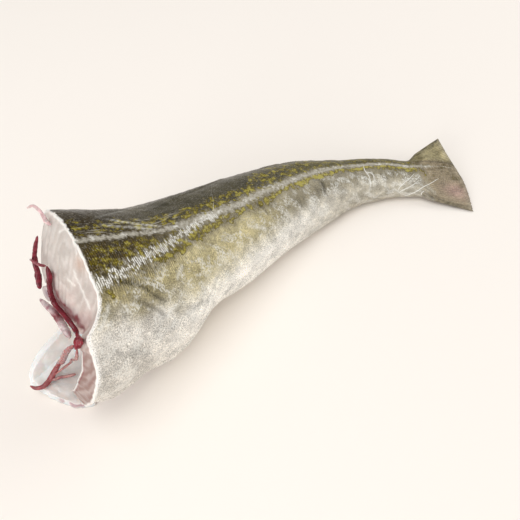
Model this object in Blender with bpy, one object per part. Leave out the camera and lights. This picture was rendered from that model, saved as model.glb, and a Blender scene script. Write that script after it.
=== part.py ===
"""A gutted cod without its head, belly slit open at the cut end, tail fin on.

The fish stands on its belly flaps at the cut end and twists until the tail
lies on its right side.  Metres, +Z up, long axis along +X, cut end at -X.
"""
import bmesh
import bpy
import numpy as np

# stations along the back, measured from the nape towards the tail
STATIONS = (-0.064, 0.0, 0.072, 0.144, 0.216, 0.288, 0.360, 0.432)
HALF_DEPTH = (0.1105, 0.0917, 0.0702, 0.0586, 0.0500, 0.0414, 0.0300, 0.0288)
HALF_WIDTH = (0.0680, 0.0678, 0.0666, 0.0549, 0.0419, 0.0285, 0.0184, 0.0106)
HEADING_DEG = (12.9, 12.9, 13.6, 13.3, 11.3, 4.1, -9.1, -28.8)
ROLL_DEG = (65.5, 64.6, 60.7, 53.1, 41.1, 30.9, 18.3, 2.1)
TAIL_BASE = 0.432
VENT = 0.072
SINK = 0.0012

# the cut: how far behind the nape the skin is cut, by angle round the body
# (0 at the back ridge, positive on the left flank, 180 at the belly line)
CUT_ANGLE = (-184, -178, -170, -160, -150, -140, -130, -125, -120, -113, -100, -60, -30,
             0, 30, 46, 60, 67, 77, 84, 92, 100, 112, 130, 150, 174)
CUT_PLACE = (-0.009, -0.016, -0.023, -0.028, -0.034, -0.039, -0.041, -0.037, -0.026, 0.000, 0.012,
             0.018, 0.007, -0.003, -0.0066, -0.0095, -0.0112, -0.0114, -0.0197, -0.0306, -0.0306,
             -0.0302, -0.0335, -0.0345, -0.0325, -0.027)
CUT_BULGE = 0.0085
LIP_ANGLE = (-184, -120, -90, -60, -30, 0, 30, 60, 77, 84, 100, 174)
LIP_AHEAD = (0.0, 0.0, 0.004, 0.009, 0.015, 0.019, 0.017, 0.014, 0.008, 0.002, 0.004, 0.003)

# belly walls
NECK_ANGLE = 84.0
ROOF_HALF_WIDTH = 0.050
ROOF_HEIGHT = 0.012
ROOF_FALL = 0.25
WALL_ANGLE = (-184, -176, -150, -120, -90, -84, 84, 90, 112, 140, 160, 174)
WALL_THICK = (0.003, 0.0055, 0.008, 0.0095, 0.012, 0.014, 0.014, 0.011, 0.014, 0.017, 0.013, 0.006)
FLAP_SPREAD = 0.012
FLAP_CURL = 0.022
FLAP_FLARE = 0.010
BELLY_TUCK = 0.011
SLIT_NEAR_DEG = 174.0
SLIT_FAR_DEG = -183.0
SLIT_GAP_DEG = 24.0
ARCH_HEIGHT = 0.013

# folded fins: start, end, height
BACK_FINS = ((0.014, 0.074, 0.0020), (0.090, 0.205, 0.0014), (0.228, 0.330, 0.0014))
BELLY_FINS = ((0.092, 0.205, 0.0022), (0.232, 0.335, 0.0022))
FIN_ANGLE = 9.0
FIN_SPREAD = 2.4

# tail fin: reach and spread of its hind edge, from the upper tip to the lower
TAIL_ACROSS = (-1.0, -0.45, -0.1, 0.3, 0.6, 1.0)
TAIL_REACH = (0.0662, 0.0669, 0.0654, 0.0572, 0.0503, 0.0427)
TAIL_UPPER = 0.0486
TAIL_LOWER = 0.0546
TAIL_HEADING_DEG = -27.0
TAIL_UPPER_ROLL_DEG = 30.0
TAIL_LOWER_ROLL_DEG = 9.0
TAIL_EDGE = 0.00065

# backbone
BONE_START = -0.0245
BONE_END = 0.400
BONE_FRONT = 0.0068
BONE_HIND = 0.0028
BONE_HEIGHT = 0.285
BONE_DROP = 0.18
GAP = 0.0004

# soft remains at the cut: distance behind the nape, offset to the left flank and
# offset towards the back, along each strand, then its two end radii
STRANDS = {
    "gut_strand": (((-0.0355, 0.0393, -0.0051), (-0.0270, -0.0052, -0.0366), (-0.0205, -0.0472, -0.0660),
                    (-0.0277, -0.0468, -0.0717), (-0.0350, -0.0464, -0.0739), (-0.0404, -0.0500, -0.0737),
                    (-0.0428, -0.0550, -0.0720)), 0.0024, 0.0024),
    "gut_thread": (((-0.0345, 0.0470, -0.0090), (-0.0225, 0.0040, -0.0350), (-0.0156, -0.0330, -0.0590),
                    (-0.0240, -0.0380, -0.0640)), 0.0015, 0.0011),
    "gut_stub": (((-0.0210, -0.0439, -0.0721), (-0.0145, -0.0400, -0.0724), (-0.0068, -0.0351, -0.0727)),
                 0.0015, 0.0013),
    "blood_strand": (((-0.0215, 0.0082, 0.0783), (-0.0230, 0.0003, 0.0674), (-0.0240, -0.0032, 0.0595),
                      (-0.0248, -0.0043, 0.0527), (-0.0255, -0.0028, 0.0471), (-0.0270, -0.0022, 0.0398),
                      (-0.0286, -0.0005, 0.0338)), 0.0012, 0.0026),
    "blood_branch": (((-0.0270, -0.0057, 0.0585), (-0.0290, 0.0072, 0.0588), (-0.0270, 0.0101, 0.0564),
                      (-0.0226, 0.0099, 0.0537)), 0.0009, 0.0012),
    "blood_vessel": (((-0.0243, 0.0149, 0.0469), (-0.0259, 0.0133, 0.0385), (-0.0268, 0.0137, 0.0310),
                      (-0.0270, 0.0149, 0.0252), (-0.0268, 0.0231, 0.0189), (-0.0277, 0.0356, 0.0130),
                      (-0.0278, 0.0421, 0.0074)), 0.0022, 0.0017),
    "blood_clot": (((-0.0360, 0.0654, 0.0122), (-0.0365, 0.0609, 0.0072), (-0.0365, 0.0542, 0.0011)),
                   0.0038, 0.0028),
    "gullet": (((-0.0290, -0.0055, 0.0238), (-0.0290, 0.0029, 0.0205), (-0.0290, 0.0129, 0.0172),
                (-0.0290, 0.0198, 0.0118), (-0.0295, 0.0270, 0.0056), (-0.0300, 0.0326, -0.0006)),
               0.0021, 0.0034),
    "nape_shred": (((-0.0110, 0.0065, 0.0867), (-0.0105, 0.0029, 0.0908), (-0.0105, -0.0025, 0.0948),
                    (-0.0110, -0.0102, 0.0970), (-0.0130, -0.0168, 0.0952)), 0.0016, 0.0012),
}
STRAND_SIDES = 8

SKIN_COLOUR = (0.36, 0.34, 0.27)
BONE_COLOUR = (0.55, 0.42, 0.43)
STRAND_COLOURS = {
    "gut_strand": (0.42, 0.10, 0.12),
    "gut_thread": (0.55, 0.24, 0.25),
    "gut_stub": (0.45, 0.13, 0.14),
    "blood_vessel": (0.22, 0.015, 0.02),
    "blood_strand": (0.22, 0.015, 0.02),
    "blood_branch": (0.22, 0.015, 0.02),
    "gullet": (0.68, 0.40, 0.40),
    "nape_shred": (0.62, 0.35, 0.34),
    "blood_clot": (0.13, 0.008, 0.012),
}

RING_STEP_DEG = 7.5
SKIN_RINGS = 62
FIN_RINGS = 9
CAP_ROWS = 5


def smooth(knots, values, at):
    """Cubic curve through the given values."""
    k = np.asarray(knots, float)
    v = np.asarray(values, float)
    slope = np.gradient(v, k)
    x = np.clip(np.asarray(at, float), k[0], k[-1])
    i = np.clip(np.searchsorted(k, x, side="right") - 1, 0, len(k) - 2)
    h = k[i + 1] - k[i]
    t = (x - k[i]) / h
    near = (2 * t ** 3 - 3 * t ** 2 + 1) * v[i] + (t ** 3 - 2 * t ** 2 + t) * h * slope[i]
    return near + (3 * t ** 2 - 2 * t ** 3) * v[i + 1] + (t ** 3 - t ** 2) * h * slope[i + 1]


def ease(t):
    t = np.clip(t, 0.0, 1.0)
    return t * t * (3 - 2 * t)


def unit(v):
    return v / np.linalg.norm(v, axis=-1, keepdims=True)


class Spine:
    """Centre line of the fish and the directions across it."""

    def __init__(self):
        self.s = np.linspace(STATIONS[0], TAIL_BASE, 500)
        step = self.s[1] - self.s[0]
        heading = np.radians(smooth(STATIONS, HEADING_DEG, self.s))
        roll = np.radians(smooth(STATIONS, ROLL_DEG, self.s))
        a = smooth(STATIONS, HALF_DEPTH, self.s)
        b = smooth(STATIONS, HALF_WIDTH, self.s)
        height = np.hypot(a * np.sin(roll), b * np.cos(roll)) - SINK
        climb = np.gradient(height, self.s)
        level = np.sqrt(1 - climb ** 2)
        run = np.stack([np.cos(heading) * level, np.sin(heading) * level], 1)
        path = np.vstack([[0, 0], np.cumsum((run[1:] + run[:-1]) / 2 * step, 0)])
        self.centre = np.column_stack([path, height])
        self.along = np.column_stack([run, climb])
        side = np.column_stack([-np.sin(heading), np.cos(heading), 0 * heading])
        lift = np.cross(self.along, side)
        self.side = side
        self.back = np.cos(roll)[:, None] * side + np.sin(roll)[:, None] * lift
        self.flank = np.cross(self.along, self.back)

    def at(self, table, s):
        return np.stack([np.interp(s, self.s, table[:, k]) for k in range(3)], -1)


SPINE = Spine()


def fin_ridge(s, angle):
    """Height of the folded back and belly fins over the skin."""
    h = np.zeros(np.broadcast(s, angle).shape)
    for fins, centre in ((BACK_FINS, FIN_ANGLE), (BELLY_FINS, 176.0)):
        off = np.abs((angle - centre + 180.0) % 360.0 - 180.0)
        crest = np.exp(-(off / FIN_SPREAD) ** 2)
        for start, end, tall in fins:
            rise = ease((s - start) / 0.018) * ease((end - s) / 0.045)
            h = h + tall * rise * crest
    return h


def skin(s, angle):
    """Point of the skin at a distance along the back and an angle round it."""
    s = np.asarray(s, float)
    rad = np.radians(angle)
    a = smooth(STATIONS, HALF_DEPTH, s)
    b = smooth(STATIONS, HALF_WIDTH, s)
    ridge = fin_ridge(s, angle)
    u = b * np.sin(rad) + ridge * 0.35
    v = a * np.cos(rad) + ridge * np.sign(np.cos(rad))
    p = SPINE.at(SPINE.centre, s)
    p = p + u[..., None] * SPINE.at(SPINE.flank, s) + v[..., None] * SPINE.at(SPINE.back, s)
    return settle(p, s, angle)


def belly_line(s, angle):
    """How far a place follows the belly line, where the slit runs."""
    near = ease((angle - 105.0) / 60.0)
    far = ease((-angle - 140.0) / 40.0) * ease((s + 0.012) / 0.02)
    return near + far


def settle(p, s, angle):
    """The right belly flap spreads flat, the left one hangs, nothing sinks in the table."""
    angle = np.asarray(angle, float)
    front = 1 - ease((s - 0.03) / 0.11)
    far = ease((-angle - 60.0) / 50.0) * front
    low = np.exp(-((p[..., 2] - 0.016) / 0.022) ** 2)
    near = ease((angle - 105.0) / 60.0)
    curl = near * FLAP_CURL * ease(-s / 0.035)
    flare = near * FLAP_FLARE * ease((s - 0.02) / 0.035) * ease((0.105 - s) / 0.035)
    side = SPINE.at(SPINE.side, s)
    tuck = BELLY_TUCK * belly_line(s, angle) * ease((0.17 - s) / 0.07)
    p = p + (FLAP_SPREAD * far * low + curl + tuck - flare)[..., None] * side
    p[..., 2] -= 0.014 * far * low + 0.7 * flare
    p[..., 2] = np.maximum(p[..., 2], 0.0)
    return p


def inward(s, angle):
    """Direction square to the skin, towards the inside of the ring."""
    ahead = skin(s, angle - 2.0)
    behind = skin(s, angle + 2.0)
    return unit(np.cross(SPINE.at(SPINE.along, s), unit(behind - ahead)))


def flap_lining(s, angle):
    wall = np.interp(angle, WALL_ANGLE, WALL_THICK)
    p = skin(s, angle) + wall[..., None] * inward(s, angle)
    p[..., 2] = np.maximum(p[..., 2], 0.0035)
    return p


def roof_lining(s, angle):
    share = np.clip(angle / NECK_ANGLE, -1, 1)
    b = smooth(STATIONS, HALF_WIDTH, s) / HALF_WIDTH[1]
    u = ROOF_HALF_WIDTH * share * b
    v = ROOF_HEIGHT * b - ROOF_FALL * np.abs(u)
    p = SPINE.at(SPINE.centre, s)
    return p + u[..., None] * SPINE.at(SPINE.flank, s) + v[..., None] * SPINE.at(SPINE.back, s)


def lining(s, angle):
    """Point of the belly hollow's wall that faces the skin point."""
    s = np.broadcast_to(np.asarray(s, float), np.shape(angle))
    blend = ease((np.abs(angle) - 70.0) / 28.0)[..., None]
    return (1 - blend) * roof_lining(s, angle) + blend * flap_lining(s, angle)


def ring_angles():
    """Angles round the body from the left slit edge over the back to the right edge."""
    wide = np.arange(165.0, 17.4, -RING_STEP_DEG)
    crest = FIN_ANGLE + np.array([4.0, 2.0, 0.0, -2.0, -4.5])
    far = np.arange(0.0, -172.6, -RING_STEP_DEG)
    ends = (np.array([SLIT_NEAR_DEG, 170.0]), np.array([-178.0, SLIT_FAR_DEG]))
    return np.concatenate([ends[0], wide, crest, far, ends[1]])


def cut_place(angle):
    return smooth(CUT_ANGLE, CUT_PLACE, angle)


def slit_open(s, angles):
    """Angles of one ring: at the cut the left flap ends short of the belly line."""
    return angles - SLIT_GAP_DEG * ease((angles - 120.0) / 54.0) * ease((VENT - s) / VENT)


def skin_rings(angles):
    """Rings of skin from the cut to the tail base, each bent to follow the cut."""
    t = np.linspace(0, 1, SKIN_RINGS)
    s = (0.35 * t + 0.65 * t ** 1.25) * TAIL_BASE
    fade = (1 - ease(s / 0.085))[:, None]
    place = s[:, None] + cut_place(angles)[None, :] * fade
    turn = slit_open(s[:, None], angles[None, :])
    return s, place, turn, skin(place, turn)


def hollow_rings(s, place, turn, angles, count):
    """Rings of the belly hollow, closing down to a low arch at the end of the slit."""
    ahead = np.interp(angles, LIP_ANGLE, LIP_AHEAD)
    sweep_round = np.linspace(0, np.pi, len(angles))[:, None]
    end = s[count - 1]
    rows = []
    for i in range(count):
        here = lining(place[i] - ahead * (1 - ease(s[i] / 0.06)), turn[i])
        sill = 0.5 * (here[0] + here[-1])
        arch = sill + np.cos(sweep_round) * (here[0] - sill)
        arch = arch + ARCH_HEIGHT * np.sin(sweep_round) * SPINE.at(SPINE.back, s[i])
        rows.append(here + (arch - here) * ease((s[i] / end - 0.55) / 0.45))
    return rows


def tail_rings(angles):
    """Rings of the tail fin from its fleshy base to the thin hind edge."""
    rad = np.radians(angles)
    across = np.cos(rad)
    face = np.sin(rad)
    heading = np.radians(TAIL_HEADING_DEG)
    ahead = np.array([np.cos(heading), np.sin(heading), 0.0])
    side = np.array([-np.sin(heading), np.cos(heading), 0.0])
    roll = np.radians(np.where(across > 0, TAIL_UPPER_ROLL_DEG, TAIL_LOWER_ROLL_DEG))
    spread = np.cos(roll)[:, None] * side + np.sin(roll)[:, None] * np.array([0, 0, 1.0])
    reach = smooth(TAIL_ACROSS, TAIL_REACH, across)
    tip = np.where(across > 0, TAIL_UPPER, TAIL_LOWER)[:, None] * spread
    foot = HALF_DEPTH[-1] * SPINE.back[-1]
    root = SPINE.centre[-1]
    base = skin(np.full(angles.shape, TAIL_BASE), angles)
    normal = np.array([0.0, 0.0, 1.0])
    rows = []
    for k in range(1, FIN_RINGS + 1):
        t = k / FIN_RINGS
        thick = TAIL_EDGE + (HALF_WIDTH[-1] - TAIL_EDGE) * (1 - t) ** 2.6
        fan = root + ahead * (reach * t)[:, None] + (foot + (tip - foot) * t) * across[:, None]
        fan = fan + normal * (thick * face)[:, None]
        fan[:, 2] = np.maximum(fan[:, 2], np.where(face > 0, 2 * TAIL_EDGE, 0.0))
        keep = ease(1 - t * 3.0)
        start = base + ahead * (reach * t)[:, None]
        rows.append(fan * (1 - keep) + start * keep)
    return rows


def bridge(faces, first, second, closed):
    n = len(first)
    for j in range(n if closed else n - 1):
        k = (j + 1) % n
        faces.append((first[j], first[k], second[k], second[j]))


def body_mesh():
    """Skin, cut face, belly hollow and tail fin as one closed shell."""
    angles = ring_angles()
    s, place, turn, outer = skin_rings(angles)
    vent = int(np.searchsorted(s, VENT))
    inner = hollow_rings(s, place, turn, angles, vent + 1)
    points = []
    faces = []

    def add(row):
        first = len(points)
        points.extend(map(tuple, row))
        return list(range(first, first + len(row)))

    shell = [add(row) for row in outer]
    shell += [add(row) for row in tail_rings(angles)]
    pit = [add(row) for row in inner]
    near_edge, far_edge = close_front(faces, add, outer[0], inner[0], shell[0], pit[0], angles)
    for i in range(len(shell) - 1):
        bridge(faces, shell[i], shell[i + 1], i >= vent)
    for i in range(vent):
        bridge(faces, pit[i + 1], pit[i], False)
        near_mid = near_edge if i == 0 else []
        far_mid = far_edge if i == 0 else []
        faces.append((shell[i][0], *near_mid, pit[i][0], pit[i + 1][0], shell[i + 1][0]))
        faces.append((shell[i + 1][-1], pit[i + 1][-1], pit[i][-1], *reversed(far_mid), shell[i][-1]))
    close_pit(faces, shell[vent], pit[vent])
    close_tail(faces, shell[-1])
    return points, faces


def close_pit(faces, shell, pit):
    """Hind wall of the belly hollow."""
    n = len(pit)
    for j in range((n - 1) // 2):
        k = n - 1 - j
        if k - j > 2:
            faces.append((pit[j], pit[j + 1], pit[k - 1], pit[k]))
        elif k - j == 2:
            faces.append((pit[j], pit[j + 1], pit[k]))
    faces.append((shell[-1], shell[0], pit[0], pit[-1]))


def close_front(faces, add, rim, lip, rim_ids, lip_ids, angles):
    """Cut face between the skin and the belly hollow, a little proud at the middle."""
    ahead = -SPINE.along[0]
    mid = np.exp(-((angles + 6.0) / 42.0) ** 2)
    near_edge = []
    far_edge = []
    last = rim_ids
    for r in range(1, CAP_ROWS):
        t = r / CAP_ROWS
        row = rim + (lip - rim) * t
        row = row + (CUT_BULGE * np.sin(np.pi * t) * mid)[:, None] * ahead
        ids = add(row)
        bridge(faces, ids, last, False)
        near_edge.append(ids[0])
        far_edge.append(ids[-1])
        last = ids
    bridge(faces, lip_ids, last, False)
    return near_edge, far_edge


def close_tail(faces, ring):
    """Hind edge of the tail fin, left face to right face."""
    j = 0
    k = len(ring) - 1
    while k - j > 2:
        faces.append((ring[j], ring[j + 1], ring[k - 1], ring[k]))
        j += 1
        k -= 1
    if k - j == 2:
        faces.append((ring[j], ring[j + 1], ring[k]))


def bone_line(s):
    """Centre line of the backbone."""
    rise = smooth(STATIONS, HALF_DEPTH, s) * (BONE_HEIGHT - BONE_DROP * s / TAIL_BASE)
    rise = rise * ease((s + 0.2) / 0.2)
    return SPINE.at(SPINE.centre, s) + rise[:, None] * SPINE.at(SPINE.back, s)


def sweep(line, radii, sides):
    """Round rod of changing radius along a line, closed at both ends."""
    along = unit(np.gradient(line, axis=0))
    first = unit(np.cross(along, np.array([0.31, -0.22, 0.92])))
    second = np.cross(along, first)
    turn = np.linspace(0, 2 * np.pi, sides, endpoint=False)
    ring = np.cos(turn)[None, :, None] * first[:, None, :] + np.sin(turn)[None, :, None] * second[:, None, :]
    points = (line[:, None, :] + radii[:, None, None] * ring).reshape(-1, 3)
    faces = []
    for i in range(len(line) - 1):
        low = list(range(i * sides, (i + 1) * sides))
        high = list(range((i + 1) * sides, (i + 2) * sides))
        bridge(faces, low, high, True)
    faces.append(tuple(range(sides)))
    faces.append(tuple(range((len(line) - 1) * sides, len(line) * sides)))
    return points, faces


def bone_mesh(start, end, extra):
    s = np.linspace(start, end, 30)
    share = np.clip((s - BONE_START) / (BONE_END - BONE_START), 0, 1)
    radii = BONE_FRONT + (BONE_HIND - BONE_FRONT) * share + extra
    return sweep(bone_line(s), radii, 14)


def strand_mesh(path, first, last):
    """A limp strand through the given places at the cut."""
    steps = np.linalg.norm(np.diff(path, axis=0), axis=1)
    knots = np.concatenate([[0.0], np.cumsum(steps) / steps.sum()])
    t = np.linspace(0, 1, 4 * len(path))
    place = np.stack([smooth(knots, [q[k] for q in path], t) for k in range(3)], 1)
    zero = np.zeros(1)
    frame = np.vstack([SPINE.at(SPINE.along, zero), SPINE.at(SPINE.flank, zero), SPINE.at(SPINE.back, zero)])
    line = SPINE.at(SPINE.centre, zero) + place @ frame
    radii = first + (last - first) * t
    tip = np.sqrt(np.clip(1 - (2 * np.abs(t - 0.5)) ** 8, 0.12, 1))
    return sweep(line, radii * tip, STRAND_SIDES)


def clear_scene():
    for ob in list(bpy.data.objects):
        bpy.data.objects.remove(ob, do_unlink=True)


def paint(name, colour, roughness):
    material = bpy.data.materials.new(name)
    material.use_nodes = True
    shader = material.node_tree.nodes["Principled BSDF"]
    shader.inputs["Base Color"].default_value = (*colour, 1.0)
    shader.inputs["Roughness"].default_value = roughness
    shader.inputs["Metallic"].default_value = 0.0
    return material


def make(name, points, faces, parent):
    mesh = bpy.data.meshes.new(name)
    mesh.from_pydata([tuple(map(float, p)) for p in points], [], faces)
    shell = bmesh.new()
    shell.from_mesh(mesh)
    bmesh.ops.recalc_face_normals(shell, faces=shell.faces)
    bmesh.ops.triangulate(shell, faces=shell.faces)
    shell.to_mesh(mesh)
    shell.free()
    mesh.shade_smooth()
    mesh.set_sharp_from_angle(angle=np.radians(40.0))
    ob = bpy.data.objects.new(name, mesh)
    bpy.context.collection.objects.link(ob)
    ob.parent = parent
    return ob


def bore(ob, cutter):
    """Take the backbone's channel out of the flesh."""
    cutter.hide_render = True
    cutter.display_type = "WIRE"
    cut = ob.modifiers.new("channel", "BOOLEAN")
    cut.operation = "DIFFERENCE"
    cut.solver = "EXACT"
    cut.object = cutter


def rest_on_origin(root, obs):
    """Place the fish so that the middle of its footprint is the origin."""
    spots = np.array([v.co for ob in obs for v in ob.data.vertices])
    low = spots.min(0)
    high = spots.max(0)
    root.location = (-(low[0] + high[0]) / 2, -(low[1] + high[1]) / 2, -low[2])


def main():
    clear_scene()
    root = bpy.data.objects.new("fish", None)
    bpy.context.collection.objects.link(root)
    body = make("body", *body_mesh(), root)
    body.data.materials.append(paint("flesh_and_skin", SKIN_COLOUR, 0.35))
    bore(body, make("channel", *bone_mesh(BONE_START - 0.03, BONE_END + GAP, GAP), root))
    bone = make("backbone", *bone_mesh(BONE_START, BONE_END, 0.0), root)
    bone.data.materials.append(paint("bone", BONE_COLOUR, 0.4))
    obs = [body, bone]
    for name, (path, first, last) in STRANDS.items():
        strand = make(name, *strand_mesh(path, first, last), root)
        strand.data.materials.append(paint(name, STRAND_COLOURS[name], 0.25))
        obs.append(strand)
    rest_on_origin(root, obs)


main()
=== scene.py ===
"""A raw, gutted cod without its head: wet mottled skin, cut flesh, open belly and tail fin."""
import math
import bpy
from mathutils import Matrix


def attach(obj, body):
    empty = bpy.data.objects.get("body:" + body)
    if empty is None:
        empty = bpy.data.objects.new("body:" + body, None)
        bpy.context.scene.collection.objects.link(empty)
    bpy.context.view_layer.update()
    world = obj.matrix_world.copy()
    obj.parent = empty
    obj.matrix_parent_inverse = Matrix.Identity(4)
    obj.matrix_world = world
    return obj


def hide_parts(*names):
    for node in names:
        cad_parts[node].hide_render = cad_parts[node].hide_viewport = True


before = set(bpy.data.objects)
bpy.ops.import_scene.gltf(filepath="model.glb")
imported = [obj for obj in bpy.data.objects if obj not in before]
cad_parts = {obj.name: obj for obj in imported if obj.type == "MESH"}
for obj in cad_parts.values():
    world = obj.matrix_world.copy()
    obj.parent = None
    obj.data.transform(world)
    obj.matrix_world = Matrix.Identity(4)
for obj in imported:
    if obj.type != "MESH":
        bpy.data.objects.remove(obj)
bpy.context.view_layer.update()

from types import SimpleNamespace

import bmesh
import bpy
import numpy as np
from mathutils import Vector
from mathutils.bvhtree import BVHTree

# camera of the photograph
CAMERA_TARGET = (-0.00598, 0.0172, 0.0)
CAMERA_AZIMUTH_DEG = -32.0
CAMERA_ELEVATION_DEG = 51.06
CAMERA_DISTANCE = 0.6427
CAMERA_LENS_MM = 40.24

# the fish's own shape: stations behind the nape, as in the solids
NAPE_AT = (0.26191, 0.02331, 0.0)
STATIONS = (-0.064, 0.0, 0.072, 0.144, 0.216, 0.288, 0.36, 0.432)
HALF_DEPTH = (0.1105, 0.0917, 0.0702, 0.0586, 0.05, 0.0414, 0.03, 0.0288)
HALF_WIDTH = (0.068, 0.0678, 0.0666, 0.0549, 0.0419, 0.0285, 0.0184, 0.0106)
HEADING_DEG = (12.9, 12.9, 13.6, 13.3, 11.3, 4.1, -9.1, -28.8)
ROLL_DEG = (65.5, 64.6, 60.7, 53.1, 41.1, 30.9, 18.3, 2.1)
TAIL_BASE = 0.432
VENT = 0.072
SINK = 0.0012

CUT_ANGLE = (-184, -178, -170, -160, -150, -140, -130, -125, -120, -113, -100, -60, -30,
             0, 30, 46, 60, 67, 77, 84, 92, 100, 112, 130, 150, 174)
CUT_PLACE = (-0.009, -0.016, -0.023, -0.028, -0.034, -0.039, -0.041, -0.037, -0.026, 0.0, 0.012,
             0.018, 0.007, -0.003, -0.0066, -0.0095, -0.0112, -0.0114, -0.0197, -0.0306, -0.0306,
             -0.0302, -0.0335, -0.0345, -0.0325, -0.027)
CUT_BULGE = 0.0085
LIP_ANGLE = (-184, -120, -90, -60, -30, 0, 30, 60, 77, 84, 100, 174)
LIP_AHEAD = (0.0, 0.0, 0.004, 0.009, 0.015, 0.019, 0.017, 0.014, 0.008, 0.002, 0.004, 0.003)
LIP_SWELL = 0.0058

NECK_ANGLE = 84.0
ROOF_HALF_WIDTH = 0.05
ROOF_HEIGHT = 0.012
ROOF_FALL = 0.25
WALL_ANGLE = (-184, -176, -150, -120, -90, -84, 84, 90, 112, 140, 160, 174)
WALL_THICK = (0.003, 0.0055, 0.008, 0.0095, 0.012, 0.014, 0.014, 0.011, 0.014, 0.017, 0.013, 0.006)
FLAP_SPREAD = 0.012
FLAP_CURL = 0.022
FLAP_FLARE = 0.01
BELLY_TUCK = 0.011
SLIT_NEAR_DEG = 174.0
SLIT_FAR_DEG = -183.0
SLIT_GAP_DEG = 24.0
ARCH_HEIGHT = 0.013

TAIL_ACROSS = (-1.0, -0.45, -0.1, 0.3, 0.6, 1.0)
TAIL_REACH = (0.0662, 0.0669, 0.0654, 0.0572, 0.0503, 0.0427)
TAIL_UPPER = 0.0486
TAIL_LOWER = 0.0546
TAIL_HEADING_DEG = -27.0
TAIL_UPPER_ROLL_DEG = 30.0
TAIL_LOWER_ROLL_DEG = 9.0
TAIL_EDGE = 0.00065

BONE_START = -0.0245
BONE_END = 0.4
BONE_FRONT = 0.0068
BONE_HIND = 0.0028
BONE_HEIGHT = 0.285
BONE_DROP = 0.18
BONE_SIDES = 36
BONE_WAIST = 0.16
VERTEBRA_FRONT = 0.0125
VERTEBRA_HIND = 0.0085
SOCKET_DEPTH = 0.0011
SOCKET_RINGS = 9

# the strands at the cut: slot, then path in mm from the middle of the nape section (along the fish,
# towards the left flank, towards the back), radii of the ends in mm, colours of top and underside
STRANDS = {
    "gut_strand": ("gut_tissue", {
        "path": ((-36.2, 50.0, 1.2), (-35.5, 39.3, -5.1), (-27.0, -5.2, -36.6), (-20.5, -47.2, -66.0),
                 (-27.7, -46.8, -71.7), (-35.0, -46.4, -73.9), (-40.4, -50.0, -73.7), (-42.8, -55.0, -72.0)),
        "radii": (2.4, 2.4), "tones": ((0.36, 0.1, 0.1), (0.24, 0.028, 0.038)), "lumps": 0.09}),
    "gut_thread": ("gut_tissue", {
        "path": ((-36.2, 54.5, 0.0), (-34.5, 47.0, -9.0), (-22.5, 4.0, -35.0), (-15.6, -33.0, -59.0),
                 (-24.0, -38.0, -64.0)),
        "radii": (1.5, 1.1), "tones": ((0.46, 0.2, 0.18), (0.3, 0.05, 0.06))}),
    "gut_stub": ("gut_tissue", {
        "path": ((-26.2, -46.0, -72.0), (-21.0, -43.9, -72.1), (-14.5, -40.0, -72.4), (-6.8, -35.1, -72.7)),
        "radii": (1.5, 1.3), "tones": ((0.44, 0.23, 0.21), (0.32, 0.09, 0.1))}),
    "blood_strand": ("blood", {
        "path": ((-21.5, 8.2, 78.3), (-23.0, 0.3, 67.4), (-24.0, -3.2, 59.5), (-24.8, -4.3, 52.7),
                 (-25.5, -2.8, 47.1), (-27.0, -2.2, 39.8), (-28.6, -0.5, 33.8)),
        "radii": (1.2, 2.6), "tones": ((0.15, 0.006, 0.018), (0.27, 0.03, 0.05))}),
    "blood_branch": ("blood", {
        "path": ((-27.0, -5.7, 58.5), (-29.0, 7.2, 58.8), (-27.0, 10.1, 56.4), (-22.6, 9.9, 53.7)),
        "radii": (0.9, 1.2), "tones": ((0.26, 0.05, 0.065), (0.42, 0.14, 0.15))}),
    "blood_vessel": ("blood", {
        "path": ((-22.9, 11.8, 54.0), (-24.3, 14.9, 46.9), (-25.9, 13.3, 38.5), (-26.8, 13.7, 31.0),
                 (-27.0, 14.9, 25.2), (-26.8, 23.1, 18.9), (-27.7, 35.6, 13.0), (-27.8, 42.1, 7.4),
                 (-32.5, 52.0, 7.5)),
        "radii": (2.2, 1.7), "tones": ((0.13, 0.003, 0.011), (0.22, 0.01, 0.024)), "lumps": 0.1}),
    "blood_clot": ("blood", {
        "path": ((-36.0, 65.4, 12.2), (-36.5, 60.9, 7.2), (-36.5, 54.2, 1.1)),
        "radii": (3.8, 2.8), "tones": ((0.17, 0.005, 0.014), (0.36, 0.03, 0.045)), "lumps": 0.42,
        "blunt": 2.2}),
    "gullet": ("pale_tissue", {
        "path": ((-29.0, -5.5, 23.8), (-29.0, 2.9, 20.5), (-29.0, 12.9, 17.2), (-29.0, 19.8, 11.8),
                 (-29.5, 27.0, 5.6), (-30.0, 32.6, -0.6)),
        "radii": (2.1, 3.4), "tones": ((0.6, 0.5, 0.49), (0.33, 0.13, 0.16)), "lumps": 0.07, "blunt": 5.0,
        "dark_at": 0.56}),
    "nape_shred": ("pale_tissue", {
        "path": ((-10.0, 11.0, 83.5), (-11.0, 6.5, 86.7), (-10.5, 2.9, 90.8), (-10.5, -2.5, 94.8),
                 (-11.0, -10.2, 97.0), (-13.0, -16.8, 95.2)),
        "radii": (1.6, 1.2), "tones": ((0.66, 0.42, 0.42), (0.7, 0.55, 0.53))}),
}
STRAND_SIDES = 20
STRAND_SQUASH = 0.85
STRAND_SWELL = 1.08

# how finely the shapes are drawn
LEFT_COLUMNS = 128
RIGHT_COLUMNS = 92
SKIN_RINGS = 250
FIN_RINGS = 42
CAP_ROWS = 40
CAP_CROWDING = 1.3

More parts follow.
